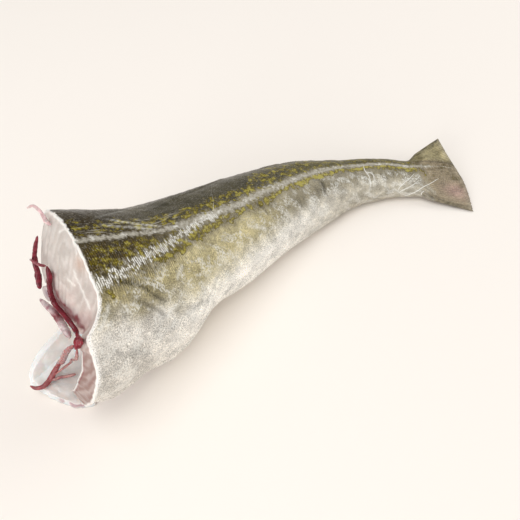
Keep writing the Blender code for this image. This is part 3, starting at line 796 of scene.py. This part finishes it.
def lining_paint(points, s, angle):
    """Colour of the belly hollow: silvery membrane, dark blood under the backbone, white spots of painted
    highlight.
    """
    neck = bell(angle, 84.0, 9.0) * ease((0.03 - s) / 0.03)
    gaps = [np.linalg.norm((points - at) / radius, axis=-1) for at, radius in np.array(PAINTED_LINING_GLINTS)]
    return layered(
        MEMBRANE,
        (FLESH_PINK, 0.16 * ease(ripple(points, 0.022, 71))),
        (MEMBRANE_LOW, ease((-angle - 132.0) / 22.0)),
        (FLESH_PINK, 0.75 * ease((62.0 - np.abs(angle)) / 30.0)),
        (BLOOD, 0.85 * bell(angle, 0, 13.0) * ease(0.75 + 0.6 * ripple(points, 0.012, 72))),
        (BLOOD, 0.75 * neck * ease(0.35 + ripple(points, 0.010, 73))),
        # painted highlights: white spots on the lining
        *((WHITE, np.exp(-gap ** 4)) for gap in gaps))


def fin_paint(points, across, t):
    """Colour of the tail fin, with painted shade along the fold of its upper lobe."""
    fold = across - np.interp(t, FOLD_AT, FOLD_ACROSS)
    dark = ease(ripple(points, 0.011, 81) + 0.15) * ease((0.80 - np.abs(fold + 0.25)) / 0.5)
    edge = ease((np.abs(across) - 0.80) / 0.14)
    tone = layered(
        FIN_LOWER,
        (FIN_UPPER, ease((fold + 0.05) / 0.10)),
        (FIN_PINK, 0.65 * bell(t, 0.8, 0.22) * bell(across, -0.5, 0.22)),
        (OLIVE_DEEP, 0.50 * dark),
        (BACK_MID, edge * (0.45 + 0.35 * ripple(points, 0.006, 83))),
        (FIN_ROOT, 0.30 * ease((t - 0.88) / 0.12)))
    # painted shade in a line along the fold
    return tone * (1 - 0.42 * bell(fold, -0.03, 0.035))[..., None]


def grid_faces(rows, closed=False):
    """Quads between the rows of a grid of point numbers."""
    rows = np.asarray(rows)
    after = np.roll(rows, -1, axis=1) if closed else rows[:, 1:]
    here = rows if closed else rows[:, :-1]
    quads = np.stack([here[:-1], after[:-1], after[1:], here[1:]], -1)
    return quads.reshape(-1, 4)


class Shell:
    """Points, faces and markings of one mesh that is put together from grids."""

    def __init__(self):
        self.points = []
        self.marks = {}
        self.faces = []
        self.materials = []
        self.count = 0

    def add(self, grid, **marks):
        grid = np.asarray(grid, float)
        size = grid.reshape(-1, 3).shape[0]
        numbers = np.arange(self.count, self.count + size).reshape(grid.shape[:-1])
        self.points.append(grid.reshape(-1, 3))
        for name, kind in MARKS.items():
            value = marks.get(name, np.zeros(kind))
            value = np.broadcast_to(value, (*grid.shape[:-1], kind)) if np.ndim(value) <= 1 else value
            self.marks.setdefault(name, []).append(np.asarray(value, float).reshape(-1, kind))
        self.count += size
        return numbers

    def fill(self, faces, material=0):
        for face in faces:
            self.faces.append(tuple(int(i) for i in face))
            self.materials.append(material)

    def build(self, name, materials):
        mesh = bpy.data.meshes.new(name)
        mesh.from_pydata(np.vstack(self.points).tolist(), [], self.faces)
        mesh.polygons.foreach_set("material_index", self.materials)
        for material in materials:
            mesh.materials.append(material)
        for mark, values in self.marks.items():
            write_mark(mesh, mark, np.vstack(values))
        work = bmesh.new()
        work.from_mesh(mesh)
        bmesh.ops.recalc_face_normals(work, faces=work.faces)
        work.to_mesh(mesh)
        work.free()
        mesh.shade_smooth()
        ob = bpy.data.objects.new(name, mesh)
        bpy.context.scene.collection.objects.link(ob)
        return ob


def write_mark(mesh, name, values):
    """Keep one marking on the mesh's points, the tone as a colour."""
    if name == "tone":
        values = np.column_stack([values, np.ones(len(values))])
    kind, field = STORED_AS[values.shape[1]]
    mesh.attributes.new(name, kind, "POINT").data.foreach_set(field, values.astype(np.float32).ravel())


def flow_of(s, angle):
    """Seamless pattern coordinates: along the body, round it from the back, and left or right."""
    folded = np.where(np.abs(angle) > 180, 360 - np.abs(angle), np.abs(angle))
    return np.stack([s, np.radians(folded) * girth(s), 0.05 * np.sin(np.radians(angle))], -1)


def skin_marks(s, angle, points):
    tone, spots, rows, lateral, fray, clear = skin_paint(s, angle, points)
    _, edge = folded_fins(s, angle)
    # the silver mask is weaker in the creases, which keeps the painted flecks out of their painted shade
    silver = clear * ease((np.abs(angle) - pattern(s)[2] + 4) / 16) * (1 - 0.8 * creased(s, angle))
    marks = {"spots": spots, "rows": rows, "lateral": lateral, "glint": glint_offset(s, angle),
             "streak": np.maximum(streak_mask(s, angle), 0.25 * edge), "fray": fray, "silver": silver}
    marks = {name: mark[..., None] for name, mark in marks.items()}
    return {"tone": tone, "flow": flow_of(s, angle), **marks}


def tail_marks(points):
    """Markings of the tail: the skin's own, giving way to the fin's."""
    t = np.broadcast_to(np.arange(1, FIN_RINGS + 1)[:, None] / FIN_RINGS, points.shape[:2])
    angle = np.broadcast_to(ANGLES, points.shape[:2])
    across = np.cos(np.radians(angle))
    marks = skin_marks(TAIL_BASE + 0.045 * t, angle, points)
    marks["flow"][..., 0] = TAIL_BASE + 0.065 * t
    fin = ease((t - 0.08 + 0.12 * ripple(points, 0.012, 82)) / 0.36)
    marks["tone"] = mix(marks["tone"], fin_paint(points, across, t), fin)
    for name in ("spots", "rows", "silver", "streak", "fray"):
        marks[name] = marks[name] * (1 - fin)[..., None]
    off_line = (np.interp(t, TAIL_LINE_AT, TAIL_LINE_ACROSS) - across) / 0.055
    joined = ease(t / 0.12)
    off_line = marks["lateral"][..., 0] * (1 - joined) + off_line * joined
    marks["lateral"] = (off_line + np.sign(off_line) * 2.2 * ease((t - 0.35) / 0.5))[..., None]
    marks["fin"] = fin[..., None]
    marks["ray"] = across[..., None]
    return marks


def section_mark(points):
    return np.stack(section_place(points), -1)


def fish_body():
    """Skin, cut face, belly hollow and tail fin as one closed mesh."""
    shell = Shell()
    s, place, turn, outer = skin_grid()
    vent = int(np.searchsorted(s, VENT))
    inner = hollow_grid(s, place, turn, vent + 1)
    cap = cap_grid(outer[0], inner[0])
    tail = tail_grid(outer[-1])
    outer_ids = shell.add(outer, **skin_marks(place, turn, outer))
    inner_tone = lining_paint(inner, np.broadcast_to(s[:vent + 1, None], inner.shape[:2]), turn[:vent + 1])
    inner_ids = shell.add(inner, tone=inner_tone, flow=flow_of(place[:vent + 1], turn[:vent + 1]),
                          section=section_mark(inner))
    cap_tone = flesh_paint(cap, outer[0], inner[0], np.broadcast_to(turn[0], cap.shape[:2]))
    cap_ids = shell.add(cap, tone=cap_tone, section=section_mark(cap), flow=cap)
    tail_ids = shell.add(tail, **tail_marks(tail))
    shell.fill(grid_faces(outer_ids[:vent + 1]), SKIN)
    shell.fill(grid_faces(outer_ids[vent:], closed=True), SKIN)
    shell.fill(grid_faces(np.vstack([outer_ids[-1:], tail_ids]), closed=True), SKIN)
    shell.fill(grid_faces(inner_ids), LINING)
    face = np.vstack([outer_ids[:1], cap_ids, inner_ids[:1]])
    far_flap = int(np.searchsorted(-ANGLES, 104.0))
    shell.fill(grid_faces(face[:, :far_flap + 1]), FLESH)
    shell.fill(grid_faces(face[:, far_flap:]), LINING)
    near = slit_edge(shell, outer_ids, inner_ids, outer, inner, cap_ids, vent, 0)
    far = slit_edge(shell, outer_ids, inner_ids, outer, inner, cap_ids, vent, -1)
    shell.fill(grid_faces(np.stack([near[vent], far[vent]])), FLESH)
    shell.fill(folded_ring(inner_ids[vent]), LINING)
    shell.fill(folded_ring(tail_ids[-1]), SKIN)
    return shell


def slit_edge(shell, outer_ids, inner_ids, outer, inner, cap_ids, vent, column):
    """Cut edge of a belly flap, from the cut face to the end of the slit."""
    rows = []
    for i in range(vent + 1):
        skin_point = outer[i, column]
        lining_point = inner[i, column]
        if i == 0:
            rows.append([outer_ids[0, column], *cap_ids[:, column], inner_ids[0, column]])
            continue
        t = cap_shares()[:, None]
        line = skin_point + (lining_point - skin_point) * t
        tone = layered(RIM_COLOUR, (FLAP_FLESH, ease(t[:, 0] * 3)), (MEMBRANE, 0.35))
        ids = shell.add(line, tone=tone, section=section_mark(line), flow=line)
        rows.append([outer_ids[i, column], *ids, inner_ids[i, column]])
    rows = np.array(rows)
    shell.fill(grid_faces(rows), FLESH)
    return rows


def folded_ring(ring):
    """Faces that close a ring from side to side."""
    faces = []
    j = 0
    k = len(ring) - 1
    while k - j > 2:
        faces.append((ring[j], ring[j + 1], ring[k - 1], ring[k]))
        j += 1
        k -= 1
    if k - j == 2:
        faces.append((ring[j], ring[j + 1], ring[k]))
    return faces


def fin_rays(body):
    """Thin pale rays that stand out on the skin behind the vent."""
    tree = BVHTree.FromObject(body, bpy.context.evaluated_depsgraph_get())
    shell = Shell()
    for track in FIN_RAYS:
        t = np.linspace(0, 1, 40)
        knots = np.linspace(0, 1, len(track))
        way = np.stack([smooth(knots, [q[k] / 1000 for q in track], t) for k in range(2)], 1)
        line = np.array([tree.ray_cast(Vector((x, y, 0.3)), Vector((0, 0, -1)))[0] for x, y in way])
        radii = FIN_RAY_RADIUS * np.sqrt(np.clip(1 - (2 * np.abs(t - 0.5)) ** 4, 0.04, 1))
        rod(shell, line, tube(line + np.array([0, 0, 0.00012]), radii, 8), GLINT_COLOUR, GLINT_COLOUR)
    return shell.build("fin_rays", [ray_material()])


def tube(line, radii, sides, squash=1.0):
    """Rings along a line, optionally flatter one way."""
    along = unit(np.gradient(line, axis=0))
    first = unit(np.cross(along, np.array([0.31, -0.22, 0.92])))
    second = np.cross(along, first)
    turn = np.linspace(0, 2 * np.pi, sides, endpoint=False)[None, :, None]
    ring = np.cos(turn) * first[:, None, :] + squash * np.sin(turn) * second[:, None, :]
    return line[:, None, :] + radii[:, None, None] * ring


def fan(shell, ring, middle, tone, flow):
    """Close a ring of points with triangles to a middle point."""
    top = shell.add(np.asarray(middle)[None], tone=np.asarray(tone)[None], flow=np.asarray(flow)[None])[0]
    shell.fill([(ring[i], ring[(i + 1) % len(ring)], top) for i in range(len(ring))])


def rod(shell, line, grid, tones, end_tone):
    """A closed rod of rings, with a fan at both ends."""
    ids = shell.add(grid, tone=np.asarray(tones), flow=grid)
    shell.fill(grid_faces(ids, closed=True))
    for end in (0, -1):
        fan(shell, ids[end], grid[end].mean(0), end_tone, line[0])


def strand(name, path, radii, tones, lumps=0.12, blunt=8.0, dark_at=None):
    """A wet, uneven strand of gut, blood or tissue."""
    path = np.array(path) / 1000
    steps = np.linalg.norm(np.diff(path, axis=0), axis=1)
    knots = np.concatenate([[0.0], np.cumsum(steps) / steps.sum()])
    t = np.linspace(0, 1, 24 * len(path))
    place = np.stack([smooth(knots, path[:, k], t) for k in range(3)], 1)
    line = NAPE + place @ NAPE_AXES
    seed = sum(map(ord, name))
    ends = np.clip(1 - (2 * np.abs(t - 0.5)) ** blunt, 0.05, 1) ** 0.5
    thick = (radii[0] + (radii[1] - radii[0]) * t) / 1000 * ends
    grid = tube(line, thick, STRAND_SIDES, STRAND_SQUASH)
    swell = 1 + lumps * ripple(grid, 0.0065, seed) + 0.5 * lumps * ripple(grid, 0.0028, seed + 1)
    grid = line[:, None, :] + (grid - line[:, None, :]) * swell[..., None] * STRAND_SWELL
    below = (line[:, None, :] - grid)[..., 2] / np.maximum(thick, 1e-5)[:, None]
    share = ease(0.45 + 0.35 * below + 0.45 * ripple(grid, 0.005, seed + 2))
    colours = mix(*tones, share)
    if dark_at:
        colours = mix(colours, BLOOD, 0.9 * bell(t, dark_at, 0.11)[:, None])
    shell = Shell()
    rod(shell, line, grid, colours, tones[1])
    return shell.build(name + "_strand", [wet_tissue(name)])


def vertebrae():
    """Backbone: waisted vertebrae in a row, the first one cut open at the face."""
    s = np.linspace(BONE_START, BONE_END, 420)
    line = bone_line(s)
    share = (s - BONE_START) / (BONE_END - BONE_START)
    radius = BONE_FRONT + (BONE_HIND - BONE_FRONT) * share
    pitch = VERTEBRA_FRONT + (VERTEBRA_HIND - VERTEBRA_FRONT) * share
    phase = np.cumsum(np.gradient(s) / pitch)
    waist = 1 - BONE_WAIST * np.sin(np.pi * (phase % 1.0)) ** 2
    grid = tube(line, radius * waist, BONE_SIDES)
    shell = Shell()
    tone = mix(BONE_PALE, BONE_PURPLE, ease(0.5 + 0.5 * ripple(grid, 0.010, 91)))
    ids = shell.add(grid, tone=tone, flow=grid)
    shell.fill(grid_faces(ids, closed=True))
    hollow_end(shell, ids[0], grid[0], line[0], unit(line[0] - line[1]))
    fan(shell, ids[-1], grid[-1].mean(0), BONE_PALE, line[-1])
    return shell.build("backbone_vertebrae", [bone_material()])


def hollow_end(shell, ring, points, centre, ahead):
    """Cone-shaped hollow of a vertebra's face, ringed like a cut twig."""
    for r in range(1, SOCKET_RINGS):
        t = 1 - r / SOCKET_RINGS
        depth = SOCKET_DEPTH * (1 - t) ** 1.4 - 0.00012 * math.cos(r * math.pi)
        row = centre + (points - centre) * t - ahead * depth
        shade = mix(BONE_PURPLE, BONE_PALE, np.full(len(ring), ease(t * 1.3 - 0.25)))
        ids = shell.add(row, tone=shade, flow=row)
        shell.fill(grid_faces(np.stack([ring, ids]), closed=True))
        ring = ids
    fan(shell, ring, centre - ahead * 0.0012, BRUISE, centre)


class Graph:
    """Short forms for the nodes of one material."""

    def __init__(self, name):
        self.material = bpy.data.materials.new(name)
        self.material.use_nodes = True
        self.tree = self.material.node_tree
        self.shader = self.tree.nodes["Principled BSDF"]

    def put(self, kind, inputs=(), **settings):
        node = self.tree.nodes.new(kind)
        for key, value in settings.items():
            setattr(node, key, value)
        for key, value in dict(inputs).items():
            self.feed(node.inputs[key], value)
        return node

    def feed(self, socket, value):
        if isinstance(value, bpy.types.NodeSocket):
            self.tree.links.new(value, socket)
        else:
            socket.default_value = value

    def mark(self, name, output="Fac"):
        return self.put("ShaderNodeAttribute", attribute_name=name).outputs[output]

    def noise(self, place, scale, detail=2.0, rough=0.55, stretch=None):
        if stretch:
            place = self.put("ShaderNodeVectorMath", {0: place, 1: stretch}, operation="MULTIPLY").outputs[0]
        inputs = {"Vector": place, "Scale": scale, "Detail": detail, "Roughness": rough}
        return self.put("ShaderNodeTexNoise", inputs).outputs["Fac"]

    def cells(self, place, scale):
        inputs = {"Vector": place, "Scale": scale}
        return self.put("ShaderNodeTexVoronoi", inputs, feature="F1").outputs["Distance"]

    def math(self, operation, a, b=0.0, c=0.0):
        return self.put("ShaderNodeMath", {0: a, 1: b, 2: c}, operation=operation).outputs[0]

    def times(self, a, b):
        return self.math("MULTIPLY", a, b)

    def plus(self, a, b):
        return self.math("ADD", a, b)

    def scale_add(self, a, factor, offset):
        return self.math("MULTIPLY_ADD", a, factor, offset)

    def span(self, value, low, high, start=0.0, end=1.0):
        inputs = {"Value": value, "From Min": low, "From Max": high, "To Min": start, "To Max": end}
        return self.put("ShaderNodeMapRange", inputs, interpolation_type="SMOOTHSTEP").outputs[0]

    def blend(self, share, a, b, kind="MIX"):
        node = self.put("ShaderNodeMix", data_type="RGBA", blend_type=kind, clamp_factor=True)
        self.feed(node.inputs[0], share)
        self.feed(node.inputs[6], a if isinstance(a, bpy.types.NodeSocket) else (*a, 1.0))
        self.feed(node.inputs[7], b if isinstance(b, bpy.types.NodeSocket) else (*b, 1.0))
        return node.outputs[2]

    def darken(self, colour, factor):
        grey = self.put("ShaderNodeCombineColor", {0: factor, 1: factor, 2: factor}).outputs[0]
        return self.blend(1.0, colour, grey, "MULTIPLY")

    def shade(self, colour, value, low, high, start, end):
        return self.darken(colour, self.span(value, low, high, start, end))

    def relief(self, height, distance, strength=1.0):
        inputs = {"Height": height, "Distance": distance, "Strength": strength}
        return self.put("ShaderNodeBump", inputs).outputs["Normal"]

    def finish(self, colour, roughness, normal=None, **constants):
        self.feed(self.shader.inputs["Base Color"], colour)
        self.feed(self.shader.inputs["Roughness"], roughness)
        if normal is not None:
            self.feed(self.shader.inputs["Normal"], normal)
        self.shader.inputs["Subsurface Radius"].default_value = (1.0, 0.75, 0.65)
        for key, value in constants.items():
            self.shader.inputs[key.replace("_", " ")].default_value = value
        return self.material


def skin_fields(g):
    """Markings and noises that the skin's layers share."""
    f = SimpleNamespace(flow=g.mark("flow", "Vector"), rows=g.mark("rows"), silver=g.mark("silver"))
    f.cloud = g.noise(f.flow, 45.0, 2.0)
    f.blotch = g.noise(f.flow, 105.0, 3.0)
    f.speck = g.noise(f.flow, 430.0, 2.0)
    f.grain = g.noise(f.flow, 1000.0, 2.0)
    f.tiers = g.noise(f.flow, 620.0, 1.0, 0.5, (1.0, 0.30, 1.0))
    along = g.put("ShaderNodeSeparateXYZ", {0: f.flow}).outputs[0]
    turn = g.scale_add(along, 2 * math.pi / SCALE_PITCH, g.times(f.blotch, 9.0))
    comb = g.times(g.math("COSINE", turn), g.span(f.tiers, 0.30, 0.62, 0.15, 1.0))
    f.comb = g.times(comb, g.scale_add(f.silver, -0.75, 1.0))
    return f


def scale_rows(g, f):
    """The skin's own colour: clouded, grained, barred by the rows of scales and dotted."""
    base = g.shade(g.mark("tone", "Color"), f.blotch, 0.25, 0.75, 0.78, 1.20)
    base = g.shade(base, f.cloud, 0.30, 0.70, 0.82, 1.16)
    strong = g.scale_add(f.silver, 0.10, g.span(f.cloud, 0.35, 0.65, 0.36, 0.22))
    base = g.darken(base, g.scale_add(g.span(f.grain, 0.30, 0.70, -1.0, 1.0), strong, 1.0))
    base = g.darken(base, g.scale_add(f.comb, g.times(f.rows, 0.80), 1.05))
    base = g.darken(base, g.scale_add(g.span(f.tiers, 0.30, 0.70, -1.0, 1.0), g.times(f.rows, 0.28), 1.0))
    dots = g.span(g.noise(f.flow, 620.0, 3.0, 0.7), 0.50, 0.64)
    dots = g.times(dots, g.span(f.blotch, 0.35, 0.60, 0.10, 0.50))
    return g.blend(dots, base, g.blend(f.silver, base, SPECK_DARK))


def olive_patches(g, f, base):
    """Clumps of olive scales with golden middles."""
    spots = g.mark("spots")
    clump = g.plus(g.times(g.noise(f.flow, 165.0, 2.0, 0.6), 0.78), g.times(f.speck, 0.22))
    clump = g.plus(clump, g.times(g.math("SUBTRACT", spots, 0.55), 0.32))
    patch = g.times(g.span(clump, 0.480, 0.540), g.span(spots, 0.05, 0.30))
    lit = g.plus(clump, g.times(g.math("SUBTRACT", f.comb, 1.0), g.times(f.rows, 0.05)))
    lit = g.plus(lit, g.span(f.grain, 0.30, 0.70, -0.06, 0.06))
    olive = g.blend(g.span(lit, 0.49, 0.56), OLIVE_DEEP, OLIVE_BRIGHT)
    olive = g.blend(g.span(lit, 0.57, 0.64), olive, OLIVE_GOLD)
    return g.blend(g.times(patch, 0.86), base, olive)


def pale_lines(g, f, base):
    """The lateral line with painted glints, the fraying above it, the painted highlight of the row of
    shining scales and the streaks of painted highlight.
    """
    edge = g.math("ABSOLUTE", g.mark("lateral"))
    edge = g.plus(edge, g.span(g.noise(f.flow, 260.0, 3.0), 0.2, 0.8, -1.0, 1.0))
    lateral = g.times(g.span(edge, 1.9, 0.2), g.span(f.speck, 0.28, 0.62, 0.45, 1.0))
    # painted glints in the lateral line, where the noise is high
    bright = g.span(g.plus(f.blotch, g.times(f.speck, 0.4)), 0.70, 0.90, 0.0, 0.7)
    base = g.blend(g.times(lateral, 0.92), base, g.blend(bright, LINE_COLOUR, GLINT_COLOUR))
    lines = g.noise(f.flow, 560.0, 2.0, 0.5, (0.10, 1.0, 1.0))
    fray = g.times(g.span(lines, 0.53, 0.66), g.mark("fray"))
    base = g.blend(g.times(fray, 0.55), base, LINE_COLOUR)
    # painted highlight along the row of scales, with a soft painted halo round it
    spikes = g.noise(f.flow, 430.0, 2.0, 0.6, (1.0, 0.22, 1.0))
    away = g.math("ABSOLUTE", g.plus(g.mark("glint"), g.span(spikes, 0.2, 0.8, -1.1, 1.1)))
    base = g.blend(g.times(g.span(away, 1.6, 0.2), 0.30), base, LINE_COLOUR)
    painted_glint = g.span(g.scale_add(f.comb, 0.35, f.grain), 0.28, 0.62)
    painted_glint = g.times(g.span(away, 0.70, 0.25), painted_glint)
    base = g.blend(g.times(painted_glint, 0.95), base, GLINT_COLOUR)
    # painted wet highlights along the streaks, and the first folded fin's pale free edge
    streak = g.times(g.mark("streak"), g.span(f.grain, 0.30, 0.60, 0.35, 0.95))
    return g.blend(streak, base, GLINT_COLOUR)


def painted_sparkle_and_stars(g, f, base):
    """Painted highlights as bright flecks on the silver belly, and small pale stars on the back."""
    fleck = g.noise(f.flow, 760.0, 2.0, 0.6, (1.0, 0.6, 1.0))
    # painted highlights: bright flecks in patches of the silver belly
    wet = g.times(g.span(g.noise(f.flow, 80.0, 3.0, 0.6), 0.46, 0.60), f.silver)
    wet = g.times(wet, g.span(fleck, 0.40, 0.60))
    base = g.blend(g.times(wet, 0.66), base, GLINT_COLOUR)
    stars = g.times(g.span(fleck, 0.57, 0.66), g.math("SUBTRACT", 1.0, f.silver))
    return g.blend(g.times(stars, 0.35), base, LINE_COLOUR)


def skin_material():
    """Wet skin with its layers of colour, and the fin's rays on the tail."""
    g = Graph("cod_skin")
    f = skin_fields(g)
    base = painted_sparkle_and_stars(g, f, pale_lines(g, f, olive_patches(g, f, scale_rows(g, f))))
    wobble = g.times(g.noise(f.flow, 60.0, 2.0), 5.0)
    ray = g.math("COSINE", g.scale_add(g.mark("ray"), 2 * math.pi * TAIL_STRIPES, wobble))
    ray = g.times(ray, g.mark("fin"))
    base = g.darken(base, g.scale_add(ray, g.span(f.cloud, 0.35, 0.65, 0.10, 0.30), 1.0))
    height = g.plus(g.times(g.cells(f.flow, 620.0), 0.8), g.times(ray, 0.9))
    height = g.plus(height, g.times(f.comb, g.times(f.rows, 0.55)))
    height = g.plus(height, g.times(f.grain, 0.8))
    height = g.plus(height, g.times(f.blotch, 1.2))
    gloss = g.span(f.speck, 0.30, 0.70, 0.20, 0.40)
    return g.finish(base, gloss, g.relief(height, 0.00022, 0.9), Coat_Weight=0.05, Coat_Roughness=0.08,
                    Coat_IOR=1.33, IOR=1.34, Specular_IOR_Level=0.26)


def flesh_material():
    """Raw cod flesh, cut across: pale curved seams between the muscle layers."""
    g = Graph("cod_flesh")
    place = g.mark("section", "Vector")
    tone = g.mark("tone", "Color")
    drift = g.noise(place, 90.0, 2.0)
    fibre = g.noise(place, 900.0, 3.0)
    axes = g.put("ShaderNodeSeparateXYZ", {0: place})
    u = g.times(g.math("SUBTRACT", g.math("ABSOLUTE", axes.outputs[0]), LOBE_AT[0]), LOBE_SQUEEZE[0])
    v = g.times(g.math("SUBTRACT", axes.outputs[1], LOBE_AT[1]), LOBE_SQUEEZE[1])
    lobe = g.math("SQRT", g.plus(g.times(u, u), g.times(v, v)))
    layer = g.plus(g.math("DIVIDE", lobe, LAYER), g.times(g.math("SUBTRACT", drift, 0.5), 1.5))
    seam = g.math("ABSOLUTE", g.math("SUBTRACT", g.math("FRACT", layer), 0.5))
    seam = g.times(g.span(seam, 0.46, 0.04), g.span(drift, 0.34, 0.60, 0.25, 1.0))
    base = g.shade(tone, drift, 0.25, 0.75, 0.90, 1.07)
    base = g.shade(base, fibre, 0.25, 0.75, 0.95, 1.04)
    base = g.blend(g.times(seam, 0.24), base, RIM_COLOUR)
    height = g.plus(g.times(fibre, 0.3), g.times(seam, 0.4))
    return g.finish(base, g.span(drift, 0.3, 0.7, 0.30, 0.42), g.relief(height, 0.00025, 0.7),
                    Subsurface_Weight=0.35, Subsurface_Scale=0.004, Coat_Weight=0.25, Coat_Roughness=0.15)


def membrane_material():
    """Silvery lining of the belly, wet and a little wrinkled."""
    g = Graph("belly_lining")
    flow = g.mark("flow", "Vector")
    soft = g.noise(flow, 60.0, 3.0)
    fine = g.noise(flow, 420.0, 3.0, 0.6, (1.0, 0.4, 1.0))
    base = g.shade(g.mark("tone", "Color"), soft, 0.25, 0.75, 0.86, 1.08)
    height = g.plus(soft, g.times(fine, 0.35))
    return g.finish(base, g.span(fine, 0.3, 0.7, 0.12, 0.24), g.relief(height, 0.0006, 0.6),
                    Subsurface_Weight=0.85, Subsurface_Scale=0.012, Coat_Weight=0.4, Coat_Roughness=0.06)


def wet_tissue(name):
    g = Graph(name + "_tissue")
    flow = g.mark("flow", "Vector")
    cloud = g.noise(flow, 330.0, 3.0)
    base = g.shade(g.mark("tone", "Color"), cloud, 0.25, 0.75, 0.72, 1.25)
    return g.finish(base, g.span(cloud, 0.3, 0.7, 0.10, 0.24), g.relief(cloud, 0.0005, 0.6),
                    Subsurface_Weight=0.15, Subsurface_Scale=0.002, Coat_Weight=0.3, Coat_Roughness=0.05,
                    Specular_IOR_Level=0.3)


def ray_material():
    g = Graph("fin_ray")
    return g.finish(g.mark("tone", "Color"), 0.25, Coat_Weight=0.3, Coat_Roughness=0.08)


def bone_material():
    g = Graph("vertebra_bone")
    flow = g.mark("flow", "Vector")
    pores = g.noise(flow, 1300.0, 3.0)
    base = g.shade(g.mark("tone", "Color"), pores, 0.25, 0.75, 0.82, 1.12)
    return g.finish(base, g.span(pores, 0.3, 0.7, 0.28, 0.45), g.relief(pores, 0.0003, 0.6), Coat_Weight=0.3,
                    Coat_Roughness=0.12)


def floor_material():
    g = Graph("pale_floor")
    return g.finish((*FLOOR_COLOUR, 1.0), 0.85, Specular_IOR_Level=0.15)


def add_light(name, at, target, size, power):
    data = bpy.data.lights.new(name, "AREA")
    data.shape = "RECTANGLE"
    data.size, data.size_y = size
    data.energy = power
    lamp = bpy.data.objects.new(name, data)
    lamp.location = at
    lamp.rotation_mode = "QUATERNION"
    lamp.rotation_quaternion = (Vector(target) - Vector(at)).to_track_quat("-Z", "Y")
    bpy.context.scene.collection.objects.link(lamp)


def studio():
    """Pale floor, soft lights and an even white sky."""
    mesh = bpy.data.meshes.new("floor")
    corners = [(x * FLOOR_REACH, y * FLOOR_REACH, 0) for x, y in ((-1, -1), (1, -1), (1, 1), (-1, 1))]
    mesh.from_pydata(corners, [], [(0, 1, 2, 3)])
    mesh.materials.append(floor_material())
    floor = bpy.data.objects.new("floor", mesh)
    floor.location.z = -FLOOR_DROP
    bpy.context.scene.collection.objects.link(floor)
    for name, light in LIGHTS.items():
        add_light(name, *light)
    world = bpy.data.worlds.new("studio")
    world.use_nodes = True
    sky = world.node_tree.nodes["Background"].inputs
    sky["Color"].default_value = (*WHITE, 1.0)
    sky["Strength"].default_value = SKY_STRENGTH
    bpy.context.scene.world = world
    bpy.context.scene.view_settings.view_transform = "Standard"


def camera():
    data = bpy.data.cameras.new("camera")
    data.lens = CAMERA_LENS_MM
    data.sensor_width = 36.0
    cam = bpy.data.objects.new("camera", data)
    azimuth = math.radians(CAMERA_AZIMUTH_DEG)
    elevation = math.radians(CAMERA_ELEVATION_DEG)
    back = Vector((math.sin(azimuth) * math.cos(elevation), -math.cos(azimuth) * math.cos(elevation),
                   math.sin(elevation)))
    cam.location = Vector(CAMERA_TARGET) + back * CAMERA_DISTANCE
    cam.rotation_mode = "QUATERNION"
    cam.rotation_quaternion = (-back).to_track_quat("-Z", "Y")
    bpy.context.scene.collection.objects.link(cam)
    bpy.context.scene.camera = cam


def place(piece, node, slot):
    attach(piece, "root")
    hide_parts(node)


def main():
    camera()
    studio()
    body = fish_body().build("cod", [skin_material(), flesh_material(), membrane_material()])
    place(body, "body", "fish_body")
    rays = fin_rays(body)
    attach(rays, "root")
    place(vertebrae(), "backbone", "backbone")
    for name, (slot, form) in STRANDS.items():
        place(strand(name, **form), name, slot)


main()
